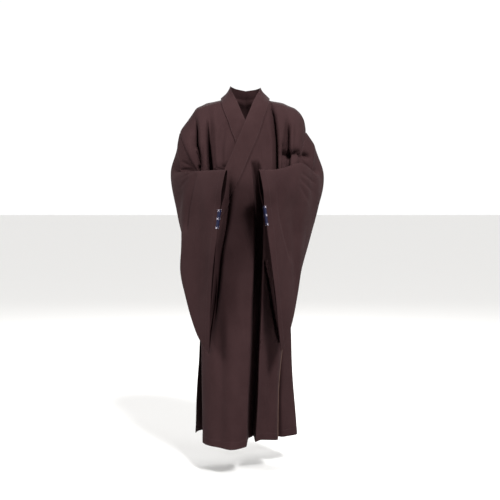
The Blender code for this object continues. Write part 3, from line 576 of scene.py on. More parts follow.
def eased(points, rows, across):
    """The shoulder's outer end with its turns eased into one another, the armhole's edge itself kept."""
    turned = 2.0 * points[:, -1:] - points[:, -2 : -EASE_SPAN - 2 : -1]
    padded = np.concatenate([points[:, :1].repeat(EASE_SPAN, axis=1), points, turned], axis=1)
    mean = window_sum(padded, EASE_SPAN) / (2 * EASE_SPAN + 1)
    share = smooth_step(*EASE_DOWN, rows)[:, None] * smooth_step(*EASE_ACROSS, np.abs(across))
    return points + (mean - points) * share[..., None]


def hang(points, across, is_front):
    """Body points with their creases, tucks and swell."""
    x, z = points[..., 0], points[..., 2]
    turn = across * np.pi / 2
    way = -1.0 if is_front else 1.0
    outward = np.stack([np.sin(turn), way * np.cos(turn), np.full_like(turn, OUT_RISE)], axis=-1)
    padding = ((0, 0), (EVEN_OUT, EVEN_OUT), (0, 0))
    normal = unit(window_sum(np.pad(grid_normals(points, outward), padding, mode="edge"), EVEN_OUT))
    creases, tucks = (FRONT_CREASES, FRONT_TUCKS) if is_front else (BACK_CREASES, BACK_TUCKS)
    inward, lean = tuck_fields(tucks, x, z)
    out = swell(x, z, FRONT_SEED if is_front else BACK_SEED) - crease_field(creases, x, z) - inward
    level = np.stack([-normal[..., 1], normal[..., 0], np.zeros_like(x)], axis=2)
    level *= np.where(level[..., :1] < 0.0, -1.0, 1.0)
    points = points + level * lean[..., None] + normal * out[..., None]
    if is_front:
        points[..., 1] += channel_field(FRONT_CHANNELS, x, z)
    return points


def along_cloth(points, count):
    """The grid with its columns spaced mostly evenly along the cloth itself."""
    length = run_length(points, 1)
    measure = length / length[:, -1:] * (1.0 - EVENLY) + np.linspace(0.0, 1.0, points.shape[1]) * EVENLY
    wanted = np.linspace(0.0, 1.0, count)
    return np.array([interp_points(wanted, known, row) for known, row in zip(measure, points)])


HEM = 0.026  # depth of the turned hem
HEM_RISE, HEM_EDGE = 0.0005, 0.004  # how far the turned hem stands out, and over what height
EDGE_TURN = 0.010  # width of the turned side edge below the slit
EDGE_FLARE = 0.0022  # how far that edge turns out
SLIT_ROWS = (9.1, 10.2)  # over which the side slits open
EDGE_DRAW = 0.008  # how far the free front edges on the wearer's right hang inwards
EDGE_DRAW_REACH = 0.070
SEAM_DIP = 0.0030  # a sewn edge draws in
SEAM_REACH = 0.0045
OUT_OF_FRONT, OUT_OF_BACK = (0.0, -1.0, 0.0), (0.0, 1.0, 0.0)


def finished_edges(points, rows, is_front):
    """Turned hem, drawn-in seams and the turned edge by the slit; also how much painted highlight that edge
    takes.
    """
    normal = grid_normals(points, np.array(OUT_OF_FRONT if is_front else OUT_OF_BACK))
    down = run_length(points).mean(axis=1)[:, None]
    over = run_length(points, 1)
    from_last = over[:, -1:] - over
    open_below = smooth_step(*SLIT_ROWS, rows)[:, None]
    out = HEM_RISE * smooth_step(HEM, HEM - HEM_EDGE, down[-1] - down)
    out = out + EDGE_FLARE * smooth_step(EDGE_TURN, 0.0, from_last) * open_below
    out = out - SEAM_DIP * np.exp(-((from_last / SEAM_REACH) ** 2)) * (1.0 - open_below)
    points = points + normal * out[..., None]
    if is_front and points[-1, -1, 0] < 0.0:
        points[..., 0] += EDGE_DRAW * smooth_step(EDGE_DRAW_REACH, 0.0, from_last) * open_below
    over = run_length(points, 1)
    # The second value is the mask of the painted highlight: the turned edge by the slit drawn lighter where
    # it catches the light.
    return points, smooth_step(EDGE_TURN, EDGE_TURN * 0.5, over[:, -1:] - over) * open_below


CRISP_ANGLE = 55.0  # degrees from which an edge stays sharp


def plain_copy(source, name):
    """The evaluated object as a plain mesh object with crisp edges; the source is removed."""
    graph = bpy.context.evaluated_depsgraph_get()
    mesh = bpy.data.meshes.new_from_object(source.evaluated_get(graph), depsgraph=graph)
    mesh.name = name
    mesh.set_sharp_from_angle(angle=np.radians(CRISP_ANGLE))
    bpy.data.objects.remove(source)
    return in_scene(name, mesh)


def cloth_piece(name, points, cloth, wall, closed_round=False, painted_highlight=None):
    """A thin closed shell of cloth through a grid of points, with its flat cloth in metres as the UV map."""
    rows, columns = points.shape[:2]
    index = np.arange(rows * columns).reshape(rows, columns)
    edge = points
    if closed_round:
        index, edge = (np.concatenate([grid, grid[:, :1]], axis=1) for grid in (index, points))
    faces = np.stack([index[:-1, :-1], index[:-1, 1:], index[1:, 1:], index[1:, :-1]], axis=2).reshape(-1, 4)
    across = run_length(edge, 1)
    across -= across.mean(axis=1, keepdims=True)
    down = run_length(edge).mean(axis=1)[:, None].repeat(edge.shape[1], axis=1)
    flat = np.stack([across, down], axis=2)
    corners = np.stack([flat[:-1, :-1], flat[:-1, 1:], flat[1:, 1:], flat[1:, :-1]], axis=2)
    mesh = bpy.data.meshes.new(name)
    mesh.from_pydata(points.reshape(-1, 3).tolist(), [], faces.tolist())
    mesh.uv_layers.new(name="flat_cloth").data.foreach_set("uv", corners.astype(np.float32).ravel())
    # Painted highlight: how much lighter each point of the turned edges is drawn, kept as a point attribute
    # for the cloth's material.
    if painted_highlight is not None:
        highlight_attribute = mesh.attributes.new("painted_highlight", "FLOAT", "POINT")
        highlight_attribute.data.foreach_set("value", painted_highlight.astype(np.float32).ravel())
    mesh.shade_smooth()
    mesh.materials.append(cloth)
    sheet = in_scene(name + "_sheet", mesh)
    thicken = sheet.modifiers.new("wall", "SOLIDIFY")
    thicken.thickness = wall
    thicken.offset = 0.0
    thicken.use_rim = True
    return plain_copy(sheet, name)


THREAD_MM = 1.1
BANDS_APART = np.pi / 10.0  # of a wave texture at a scale of 1
PAINTED_HIGHLIGHT_HEX, PAINTED_HIGHLIGHT_SHARE = "#7a5f52", 0.75  # painted highlight on the turned edges beside the slits, where they catch the light
RAISED = 0.22  # how much lighter the threads' crowns are
SLUB = 0.6  # how much of the relief is uneven yarn


def woven(name, face_hex, deep_hex, worn_hex):
    """Matt woven cloth with threads both ways, soft patches in the dye, a bloom at grazing angles and a
    painted highlight on the turned edges by the slits.
    """
    made, tree, shader = material(name, {
        "Roughness": 0.86, "IOR": 1.45, "Specular IOR Level": 0.12,
        "Sheen Weight": 0.05, "Sheen Roughness": 0.45, "Sheen Tint": linear(worn_hex),
    })
    flat = {"Vector": node(tree, "ShaderNodeUVMap", {"uv_map": "flat_cloth"}).outputs["UV"]}
    place = {"Vector": node(tree, "ShaderNodeTexCoord").outputs["Object"]}
    wave = {"wave_type": "BANDS", "wave_profile": "SIN"}
    bands = {"Scale": 1000.0 / THREAD_MM * BANDS_APART, "Distortion": 0.6, "Detail": 1.0, "Detail Scale": 0.3}
    warp, weft = (
        node(tree, "ShaderNodeTexWave", {**wave, "bands_direction": way}, bands, flat).outputs["Fac"]
        for way in ("X", "Y")
    )
    product = {"operation": "MULTIPLY"}
    threads = node(tree, "ShaderNodeMath", product, links={0: warp, 1: weft}).outputs["Value"]
    slubs = node(tree, "ShaderNodeTexNoise", values={"Scale": 160.0, "Detail": 2.0}, links=flat)
    patches = node(
        tree, "ShaderNodeTexNoise", values={"Scale": 7.0, "Detail": 4.0, "Roughness": 0.6}, links=place
    )
    dye = ramp(tree, patches.outputs["Fac"], (0.30, deep_hex), (0.62, face_hex))
    raised = node(tree, "ShaderNodeMath", product, {1: RAISED}, {0: threads})
    # Painted highlight: the turned edges beside the slits are mixed towards a light tan where they catch the
    # light.
    highlight_attribute = node(tree, "ShaderNodeAttribute", {"attribute_name": "painted_highlight"})
    fade = node(tree, "ShaderNodeMath", product, {1: PAINTED_HIGHLIGHT_SHARE}, {0: highlight_attribute.outputs["Fac"]})
    mix = {"data_type": "RGBA", "blend_type": "MIX"}
    colour = dye
    for share, hex_colour in ((raised, worn_hex), (fade, PAINTED_HIGHLIGHT_HEX)):
        links = {"Factor": share.outputs["Value"], "A": colour}
        colour = node(tree, "ShaderNodeMix", mix, {"B": linear(hex_colour)}, links).outputs["Result"]
    tree.links.new(shader.inputs["Base Color"], colour)
    links = {0: slubs.outputs["Fac"], 2: threads}
    relief = node(tree, "ShaderNodeMath", {"operation": "MULTIPLY_ADD"}, {1: SLUB}, links)
    height = {"Height": relief.outputs["Value"]}
    bump = node(tree, "ShaderNodeBump", values={"Strength": 0.25, "Distance": 0.0003}, links=height)
    tree.links.new(shader.inputs["Normal"], bump.outputs["Normal"])
    return made


def ramp(tree, value, *stops):
    """A colour ramp through two colours."""
    made = node(tree, "ShaderNodeValToRGB", links={"Fac": value})
    for element, (position, hex_colour) in zip(made.color_ramp.elements, stops):
        element.position, element.color = position, linear(hex_colour)
    return made.outputs["Color"]


# The robe's cloth: a cotton and polyester plain weave, piece-dyed dark brown and calendered a little. The
# eye gets a matt face with a faint bloom, soft patches where the dye took unevenly, and fine threads,
# 0.4 mm apart on the real cloth and drawn three times as coarse, to show.
# Its turned edges beside the slits carry a painted highlight.
robe_cloth = woven("brown_plain_weave_cloth", "#3b2829", "#332122", "#443033")

FINE_ROWS = 118  # grid lines of a half from shoulder to hem
FINE_COLUMNS = 190  # and from its middle to its side
HEM_ROW, HEM_LINES = 11.4, 22  # from this row down the lines lie closer, for the turned hem
sewn = {}  # the grid and the outward normals of each sheet of cloth, for what is sewn to it


def fine_rows(first, count):
    upper = np.linspace(first, HEM_ROW, count - HEM_LINES)
    return np.concatenate([upper, np.linspace(HEM_ROW, LAST_ROW, HEM_LINES + 1)[1:]])


def body_panel(rows, across, is_front, lift, centre_fold, columns, ease):
    """The grid of one panel of the body, with how much painted highlight its edge takes."""
    row = np.broadcast_to(rows[:, None], across.shape)
    points = body_point(across.ravel(), row.ravel(), is_front, lift.ravel(), centre_fold)
    points = points.reshape(across.shape + (3,))
    if ease:
        points = eased(eased(points, rows, across), rows, across)
    points = along_cloth(hang(points, across, is_front), columns)
    return finished_edges(points, rows, is_front)


def body_half(name, left):
    side = 1.0 if left else -1.0
    halves = []
    rows = fine_rows(0.0, FINE_ROWS)
    for is_front in (False, True):
        inner = inner_edges(rows, is_front, left)[:, None]
        across = inner + (side - inner) * np.linspace(0.0, 1.0, SAMPLES)
        lift = inner_lift(across, rows[:, None]) if is_front and not left else np.zeros_like(across)
        halves.append(body_panel(rows, across, is_front, lift, left, FINE_COLUMNS, True))
    (back, _), (front, painted_highlight) = halves
    back[0] = front[0] = (back[0] + front[0]) / 2
    sewn[name + "_back"] = (back, face_normals(back, OUT_OF_BACK))
    sewn[name + "_front"] = (front, face_normals(front, OUT_OF_FRONT))
    grid = np.concatenate([back[::-1], front[1:]])
    painted_highlight = np.concatenate([np.zeros(back.shape[:2]), painted_highlight[1:]])
    if not left:
        grid, painted_highlight = grid[:, ::-1], painted_highlight[:, ::-1]
    half = name.split("_")[-1]
    nodes = [f"body_{half}_{face}_{part}" for face in ("front", "back") for part in ("upper", "lower")]
    dress(cloth_piece(name, grid, robe_cloth, WALL, painted_highlight=painted_highlight), nodes)


def dress(piece, cad_nodes):
    """The calls that every piece of cloth takes: it hangs from the root, and the parts it stands for are
    hidden.
    """
    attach(piece, "root")
    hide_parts(*cad_nodes)


body_half("robe_body_left", True)

# ---------------------------------------------------------------------------------------------------
# Body, wearer's right. Plain-weave cloth, the same cut. Its front is the inner one, which lies behind the
# outer front and ends under its own neckband.
body_half("robe_body_right", False)

# ---------------------------------------------------------------------------------------------------
# Outer front's second half, of the same cloth, sewn to the wearer's left front down the centre and crossed
# over to the wearer's right side seam.
FINE_OVERLAP_ROWS = 120
FINE_OVERLAP_COLUMNS = 200
OUTER_TOP_ROW = 4.5  # where it starts under the neckband
OUTER_SIDE_ROWS = (6.8, 8.2)  # over which its edge runs out to the side seam
OUTER_SIDE = -0.985

rows = fine_rows(OUTER_TOP_ROW, FINE_OVERLAP_ROWS)
edge = where_past(SEAM_LEFT[:7], -UNDER_BAND, rows)
to_side = smooth_step(*OUTER_SIDE_ROWS, rows)
edge = np.clip(edge * (1.0 - to_side) + OUTER_SIDE * to_side, OUTER_SIDE, INNER_EDGE)
across = edge[:, None] * np.linspace(0.0, 1.0, SAMPLES)
grid, painted_highlight = body_panel(rows, across, True, outer_lift(across), True, FINE_OVERLAP_COLUMNS, False)
sewn["robe_front_overlap"] = (grid, face_normals(grid, OUT_OF_FRONT))
front_overlap = cloth_piece("robe_front_overlap", grid[:, ::-1], robe_cloth, WALL, painted_highlight=painted_highlight[:, ::-1])
dress(front_overlap, ("front_overlap",))

# ---------------------------------------------------------------------------------------------------
# Neckband. A straight strip of the robe's cloth folded into several layers and sewn along the front
# edges and round the neck, in two lengths that meet at the centre back.
BAND_WALL = 0.0028
BAND_LIFT = 0.0032  # from the middle of the cloth to the middle of the band
INNER_BAND_LIFT = 0.0028  # the same where the inner front has sunk behind the outer one
BACK_BAND_LIFT = 0.0021  # and on the back panel
BAND_LEAVES = (0.52, 0.82)  # share of its width over which the band comes down to the back panel
PANEL_REACH = (0.6, 0.2)  # stations past and before a panel's last one over which the band leaves it
BAND_SHARES = 9  # lines measured over its width
FINE_BAND_STEPS = 260
FINE_BAND_COLUMNS = 22
NECK_MIDDLE = -0.03  # height of the neck's middle, which the band faces away from
OUT_OF_CHEST, FORWARD_AND_UP = (0.0, -0.1, 0.0), (0.0, -1.0, 0.2)
CHEST_DEPTHS = (-0.02, -0.07)  # between which depths it turns to face the front
CREASED_DEPTHS, CREASED_HEIGHTS = (0.02, -0.03), (0.0, -0.12)  # where it takes on the front's creases
SEARCH_ROWS, SEARCH_SHARES = (0.4, LAST_ROW, 233), (-1.0, 1.0, 161)  # points tried on a panel
REFINED = 4  # times that the nearest one is moved closer, by at most so much across and so many rows
MOST_ACROSS, MOST_ROWS = 0.02, 0.05
LAST_ACROSS, FIRST_ROW = 0.999, 0.3  # and never past these


def place_on(x, z, is_front):
    """Where on the front or the back panel (x, z) is, as (across, row): the nearest sample, refined."""
    grid_row, grid_across = np.meshgrid(np.linspace(*SEARCH_ROWS), np.linspace(*SEARCH_SHARES), indexing="ij")
    samples = body_surface(grid_across.ravel(), grid_row.ravel(), is_front)
    miss = (samples[None, :, 0] - x[:, None]) ** 2 + (samples[None, :, 2] - z[:, None]) ** 2
    near = miss.argmin(axis=1)
    across, row = grid_across.ravel()[near], grid_row.ravel()[near]
    step = 1e-4
    for _ in range(REFINED):
        here = body_surface(across, row, is_front)
        by_across = (body_surface(across + step, row, is_front) - here) / step
        by_row = (body_surface(across, row + step, is_front) - here) / step
        miss_x, miss_z = x - here[:, 0], z - here[:, 2]
        area = by_across[:, 0] * by_row[:, 2] - by_row[:, 0] * by_across[:, 2]
        area = np.where(np.abs(area) < 1e-7, 1e-7, area)
        across_by = (miss_x * by_row[:, 2] - by_row[:, 0] * miss_z) / area
        row_by = (by_across[:, 0] * miss_z - miss_x * by_across[:, 2]) / area
        across = np.clip(across + np.clip(across_by, -MOST_ACROSS, MOST_ACROSS), -LAST_ACROSS, LAST_ACROSS)
        row = np.clip(row + np.clip(row_by, -MOST_ROWS, MOST_ROWS), FIRST_ROW, LAST_ROW)
    return across, row


def on_panel(x, z, panel, lift_of):
    """Points of the neckband that lie on the front or the back panel at (x, z)."""
    is_front = panel == "front"
    across, row = place_on(x, z, is_front)
    lift = lift_of(across, row) if is_front else np.full(len(x), BACK_BAND_LIFT)
    return body_point(across, row, is_front, lift)


def band_point(entry, lift_of):
    x, panel, z = entry
    if not isinstance(panel, str):
        return np.array(entry)
    return on_panel(np.array([x]), np.array([z]), panel, lift_of)[0]


def band_line(line, at, lift_of):
    """Points along the neckband: on the panel where the line lies there, free round the neck."""
    knots = range(len(line))
    x, z = (through(knots, [entry[k] for entry in line], at) for k in (0, 2))
    points = through(knots, np.array([band_point(entry, lift_of) for entry in line]), at)
    past, before = PANEL_REACH
    for panel in ("front", "back"):
        lies = [index for index, entry in enumerate(line) if entry[1] == panel]
        if not lies:
            continue
        if panel == "front":
            weight = smooth_step(lies[-1] + past, lies[-1] - before, at)[:, None]
        else:
            weight = smooth_step(lies[0] - past, lies[0] + before, at)[:, None]
        points = points * (1.0 - weight) + on_panel(x, z, panel, lift_of) * weight
    return points


def band_stations(neck, seam, share, lift_of):
    """The stations of a line at a share of the band's width, from its neck edge to its seam edge."""
    for inner, outer in zip(neck, seam):
        if isinstance(inner[1], str) and inner[1] == outer[1]:
            x, z = (inner[k] + (outer[k] - inner[k]) * share for k in (0, 2))
            yield x, inner[1], z
        elif share in (0.0, 1.0):
            yield outer if share else inner
        else:
            start, end = band_point(inner, lift_of), band_point(outer, lift_of)
            point = start + (end - start) * share
            if outer[1] == "back":
                lies = band_point((point[0], "back", point[2]), lift_of)
                point = point + (lies - point) * smooth_step(*BAND_LEAVES, share)
            yield tuple(point)


def band_half(name, neck, seam, left):
    def lift_of(across, row):
        if left:
            return outer_lift(across) + BAND_LIFT
        sunk = smooth_step(*INNER_SINK_ROWS, row)
        return inner_lift(across, row) + BAND_LIFT * (1.0 - sunk) + INNER_BAND_LIFT * sunk

    neck, seam = (
        [tuple(size if isinstance(size, str) else size / 1000 for size in entry) for entry in line]
        for line in (neck, seam)
    )
    at = np.linspace(0.0, len(neck) - 1.0, FINE_BAND_STEPS)
    shares = np.linspace(0.0, 1.0, BAND_SHARES)
    lines = [band_line(list(band_stations(neck, seam, share, lift_of)), at, lift_of) for share in shares]
    wanted = np.linspace(0.0, 1.0, FINE_BAND_COLUMNS)
    grid = through(shares, np.array(lines), wanted).transpose(1, 0, 2)
    normal = grid_normals(grid, np.array(FORWARD_AND_UP))
    x, z = grid[..., 0], grid[..., 2]
    push = crease_field(FRONT_CREASES, x, z) - swell(x, z, FRONT_SEED)
    push *= smooth_step(*CREASED_DEPTHS, grid[..., 1]) * smooth_step(*CREASED_HEIGHTS, z)
    grid = grid - normal * push[..., None]
    round_neck = grid * (1.0, 1.0, 0.0) - (0.0, 0.0, NECK_MIDDLE)
    on_chest = smooth_step(*CHEST_DEPTHS, grid[..., 1])[..., None]
    outward = round_neck * (1.0 - on_chest) + np.array(OUT_OF_CHEST) * on_chest
    sewn[name] = (grid, grid_normals(grid, outward))
    piece = cloth_piece(name, grid[:, ::-1] if left else grid, band_cloth, BAND_WALL)
    dress(piece, (name.replace("robe_", ""),))


# The neckband's cloth: the robe's own weave, pressed in layers. The eye gets the same matt brown with a
# little more depth between face and shade.
band_cloth = woven("brown_neckband_cloth", "#3b2829", "#322021", "#453132")
band_half("robe_neckband_left", NECK_LEFT, SEAM_LEFT, True)
band_half("robe_neckband_right", NECK_RIGHT, SEAM_RIGHT, False)

# ---------------------------------------------------------------------------------------------------
# Sleeves. Each is one wide length of the cloth folded along the top of the arm, sewn to the body at the
# armhole and closed along the bottom, with an open, hemmed mouth.
FINE_SLEEVE_STEPS = 190
FINE_SLEEVE_ROUND = 200
HALF_ROUND = FINE_SLEEVE_ROUND // 2
SLEEVE_SEAM_GAP = 0.0002  # from the body's edge
SEAM_RISE_REACH = 0.030  # over which the sleeve comes up to its own round from the drawn-in seam
# Sections from the armhole to the mouth, in millimetres: top and bottom, how far the line between them
# bends, the direction of the outer sheet in plan in degrees, how far the outer and the inner sheet stand
# off that line round the arm, the share of it that is left below, and the share of the height at which
# the sheets have come that close: early at the mouth, whose lips are tacked together.
SLEEVE_POWER = 0.7  # how full the sleeve stays near its top and bottom edges
CLOSES_FROM = 0.1  # share of the height from which the sheets come closer
SLEEVE_RIGHT = (
    ((-240, 10, -166), (-198, 15, -418), (-5, 8, 0), 95, 78, 86, 0.4, 0.9),
    ((-245, 6, -222), (-208, 10, -448), (-4, 6, 0), 122, 62, 78, 0.46, 0.9),
    ((-232, -24, -250), (-211, 0, -478), (-2, 0, 0), 160, 33, 54, 0.55, 0.9),
    ((-214, -70, -254), (-208, -56, -515), (-2, 0, 0), 192, 20, 36, 0.6, 0.9),
    ((-178, -126, -253), (-220, -96, -590), (2, -4, 0), 212, 22, 30, 0.5, 0.9),
    ((-136, -176, -252), (-200, -126, -690), (2, -4, 0), 214, 24, 34, 0.4, 0.9),
    ((-98, -226, -252), (-163, -162, -805), (0, 0, 0), 213, 22, 30, 0.3, 0.6),
    ((-60, -270, -252), (-121, -195, -868), (-12, 0, 0), 244, 18, 22, 0.17, 0.21),
)
SLEEVE_LEFT = (
    ((246, 10, -168), (198, 15, -418), (6, 8, 0), 85, 78, 86, 0.4, 0.9),
    ((257, 6, -232), (211, 10, -456), (5, 6, 0), 58, 62, 78, 0.46, 0.9),
    ((242, -24, -260), (212, 0, -500), (4, 0, 0), 20, 34, 56, 0.55, 0.9),
    ((222, -70, -244), (198, -56, -560), (2, 0, 0), -12, 22, 38, 0.6, 0.9),
    ((184, -126, -224), (186, -96, -610), (0, -4, 0), -32, 24, 32, 0.5, 0.9),
    ((138, -176, -240), (176, -128, -680), (0, -4, 0), -34, 24, 34, 0.4, 0.9),
    ((92, -226, -250), (155, -162, -775), (0, 0, 0), -33, 22, 30, 0.3, 0.6),
    ((44, -270, -251), (120, -195, -860), (4, 0, 0), -64, 18, 22, 0.17, 0.21),
)
# Folds of a sleeve: on the outer (1) or the inner (-1) sheet, the depth, the width in sections, and the
# path as (section, share of the height from the top).
MOST_FOLD = 0.8  # share of the way to the sleeve's middle that a fold may take
FOLD_COMES_UP = (0.05, 0.20)  # shares of the height before and after its start over which a fold comes up
UNDERARM_FOLD = (-1, 0.014, 0.30, ((2.50, 0.30), (3.00, 0.60), (3.20, 1.00)))
SLEEVE_FOLDS_RIGHT = (
    (1, 0.008, 0.50, ((6.20, 0.10), (6.40, 0.60), (6.70, 1.00))),
    (-1, 0.008, 0.50, ((6.40, 0.20), (6.50, 1.00))),
    UNDERARM_FOLD,
)
SLEEVE_FOLDS_LEFT = (
    (1, 0.010, 0.50, ((5.80, 0.15), (5.90, 0.60), (6.20, 1.00))),
    (-1, 0.008, 0.50, ((6.30, 0.20), (6.50, 1.00))),
    UNDERARM_FOLD,
)
# Creases on the sleeves as seen from the front, in the same columns as the body's.
SLEEVE_CREASES_RIGHT = (
    (6, 3.5, 5, 0.15, 0.5, ((-166, -238), (-195, -227), (-226, -212))),
    (6, 3.5, 4, 0.15, 0.4, ((-166, -245), (-198, -244), (-236, -246))),
    (5.5, 4, 4, 0.15, 0.5, ((-170, -252), (-200, -264), (-232, -280))),
    (4, 5, 6, 0.3, 0.5, ((-188, -268), (-210, -290), (-234, -318))),
    (11, 16, 3, 0.1, 0.2, ((-160, -252), (-177, -308), (-190, -372), (-200, -470))),
    (5, 18, 10, 0.4, 0.4, ((-215, -300), (-225, -340), (-236, -420))),
    (-3, 12, 16, 0.4, 0.3, ((-150, -330), (-165, -480), (-178, -640))),
    (3, 16, 10, 0.4, 0.3, ((-118, -380), (-134, -540), (-150, -720))),
)
SLEEVE_CREASES_LEFT = (
    (50, 11, 7, 0.04, 0.75, ((174, -190), (196, -193), (230, -203))),
    (5.5, 4, 6, 0.2, 0.5, ((186, -255), (218, -276), (256, -302))),
    (5, 5, 7, 0.2, 0.5, ((182, -272), (212, -302), (246, -334))),
    (4, 5, 7, 0.25, 0.5, ((180, -290), (202, -328), (226, -372))),
    (6, 5, 20, 0.2, 0.3, ((106, -275), (116, -405), (149, -537), (182, -590))),
    (6, 20, 22, 0.4, 0.4, ((150, -300), (153, -400), (162, -510))),
    (-3, 14, 16, 0.4, 0.3, ((90, -340), (104, -480), (128, -660))),
    (4, 8, 14, 0.4, 0.4, ((214, -420), (210, -500), (200, -590))),
)
FACING = (0.05, -0.25)  # how far forward the cloth has to face to take them
CALM_SECTIONS = (0.0, 0.5)  # sections by the armhole over which creases and swell come up
ACROSS_DEPTH = 0.4  # how much the sleeve's swell also varies from front to back


def armhole(half, shares):
    """The front and the back edge of the armhole, from the shoulder fold down to the underarm."""
    rows = fine_rows(0.0, FINE_ROWS)
    for face in ("front", "back"):
        panel = sewn[f"robe_body_{half}_{face}"][0][rows <= UNDERARM]
        here = panel[:, -1] + unit(panel[:, -1] - panel[:, -2]) * SLEEVE_SEAM_GAP
        length = run_length(here)
        yield interp_points(shares * length[-1], length, here)


def all_round(down):
    """Values given down one sheet of the sleeve, and up the other one back to the first."""
    return np.concatenate([down, down[-2:0:-1]])


def sleeve_folds(grid, at, folds, down):
    """The sleeve's grid with each fold pushed in from its own sheet towards the other one."""
    middle = (grid + grid[:, -np.arange(FINE_SLEEVE_ROUND)]) / 2
    for sheet, depth, width, path in folds:
        on_sheet = (np.arange(FINE_SLEEVE_ROUND) - HALF_ROUND) * sheet > 0
        places, heights = zip(*path)
        off = (at[:, None] - np.interp(down, heights, places)) / width
        before, after = FOLD_COMES_UP
        fade = np.sqrt(np.sin(np.pi * down)) * smooth_step(heights[0] - before, heights[0] + after, down)
        inward = middle - grid
        reach = np.maximum(np.linalg.norm(inward, axis=2), 1e-6)
        push = np.minimum(depth * np.exp(-(off**2)) * fade * on_sheet, MOST_FOLD * reach)
        grid = grid + inward * (push / reach)[..., None]
    return grid


def sleeve_tube(half, table, folds, creases, swell_seed):
    name = "robe_sleeve_" + half
    share = (1.0 - np.cos(np.linspace(0.0, np.pi, HALF_ROUND + 1))) / 2
    share = share * (1.0 - EVENLY) + np.linspace(0.0, 1.0, len(share)) * EVENLY
    front, back = armhole(half, share)
    front[0], front[-1] = (front[0] + back[0]) / 2, (front[-1] + back[-1]) / 2
    rings = [np.concatenate([front, back[-2:0:-1]])]
    for *line_sizes, turn, outer, inner, hang_share, closed_by in table:
        start, end, bend = np.array(line_sizes) / 1000
        line = start + (end - start) * share[:, None] + bend * (4.0 * share * (1.0 - share))[:, None]
        towards = np.array((np.cos(np.radians(turn)), np.sin(np.radians(turn)), 0.0))
        left_over = 1.0 + (hang_share - 1.0) * smooth_step(CLOSES_FROM, closed_by, share)
        stand = np.abs(np.sin(np.arccos(1.0 - 2.0 * share))) ** SLEEVE_POWER * left_over / 1000
        inner_sheet = line - towards * (inner * stand)[:, None]
        outer_sheet = line + towards * (outer * stand)[:, None]
        rings.append(np.concatenate([inner_sheet, outer_sheet[-2:0:-1]]))
    at = np.linspace(0.0, len(rings) - 1.0, FINE_SLEEVE_STEPS)
    down = all_round(share)
    grid = sleeve_folds(through(range(len(rings)), np.array(rings), at), at, folds, down)
    normal = grid_normals(np.concatenate([grid[:, -1:], grid, grid[:, :1]], axis=1), np.zeros(3))[:, 1:-1]
    outward = grid - (grid + grid[:, -np.arange(FINE_SLEEVE_ROUND)]) / 2
    normal = normal * np.sign((normal * outward).sum(axis=2).mean())
    push = crease_field(creases, grid[..., 0], grid[..., 2]) * smooth_step(*FACING, normal[..., 1])
    push = push - swell(grid[..., 0] + ACROSS_DEPTH * grid[..., 1], grid[..., 2], swell_seed)
    push = push * (np.sqrt(np.abs(np.sin(np.pi * down))) * smooth_step(*CALM_SECTIONS, at)[:, None])
    from_seam = run_length(grid)
    risen = 1.0 - np.exp(-((from_seam / SEAM_REACH) ** 2))
    push = push - SEAM_DIP * risen * np.exp(-((from_seam / SEAM_RISE_REACH) ** 2))
    grid = grid - normal * push[..., None]
    sewn[name] = (grid, normal)
    if half == "right":
        grid = grid[:, ::-1]
    piece = cloth_piece(name, grid, robe_cloth, WALL, closed_round=True)
    dress(piece, (f"sleeve_{half}_upper", f"sleeve_{half}_lower"))


sleeve_tube("left", SLEEVE_LEFT, SLEEVE_FOLDS_LEFT, SLEEVE_CREASES_LEFT, swell_seed=37)
sleeve_tube("right", SLEEVE_RIGHT, SLEEVE_FOLDS_RIGHT, SLEEVE_CREASES_RIGHT, swell_seed=41)

# ---------------------------------------------------------------------------------------------------
# Cuff bars. Below the hand opening the two lips of each sleeve mouth are tacked together by a bar of
# navy satin stitches, laid side by side over the edge, with three white cross knots on it.
BARS = {"right": (-0.383, -0.443), "left": (-0.371, -0.431)}  # heights of the two ends of each bar
BAR_REACH = {"right": 0.0085, "left": 0.0055}  # how far its threads reach onto the cloth from the edge
BAR_SEEDS = {"left": 7, "right": 9}
OFF_BOTTOM, OFF_TOP = 8, 2  # grid lines left out beside the sleeve's bottom and top folds
MID_REACH = 0.6  # share of that reach at which a thread's second point lies
NEAR_EDGE = (0.002, 0.0005)  # and how far from the edge its next two lie
RUN_PAST = 0.9  # share of the last step by which a satin thread runs on past the edge
SATIN_RADIUS = 0.00055
SATIN_PITCH = 0.00095
SATIN_UNEVEN = 0.00025  # how far the threads' ends stray up or down
SATIN_SHOWS = 0.7  # share of a thread's radius by which its middle stands off the cloth
KNOT_SHARES = (0.02, 0.47, 0.97)  # where the knots lie along the bar
KNOT_RADIUS = 0.00070
KNOT_HALF_HEIGHT = 0.0032
KNOT_HEIGHTS = (-1.0, -0.2, 0.6, 1.0)  # of a knot's thread at the first four insets, in half heights
KNOT_SHOWS = 0.8  # share of both threads' radii by which a knot's middle stands off the satin's


def thread_material(name, face_hex, deep_hex, roughness, sheen):
    """Twisted sewing thread: a soft gloss along it, with darker spots where its plies turn under."""
    made, tree, shader = material(
        name, {"Roughness": roughness, "Sheen Weight": sheen, "Specular IOR Level": 0.35}
    )
    place = {"Vector": node(tree, "ShaderNodeTexCoord").outputs["Object"]}
    plies = node(tree, "ShaderNodeTexNoise", values={"Scale": 900.0, "Detail": 2.0}, links=place)
    tone = ramp(tree, plies.outputs["Fac"], (0.38, deep_hex), (0.60, face_hex))
    tree.links.new(shader.inputs["Base Color"], tone)
    return made


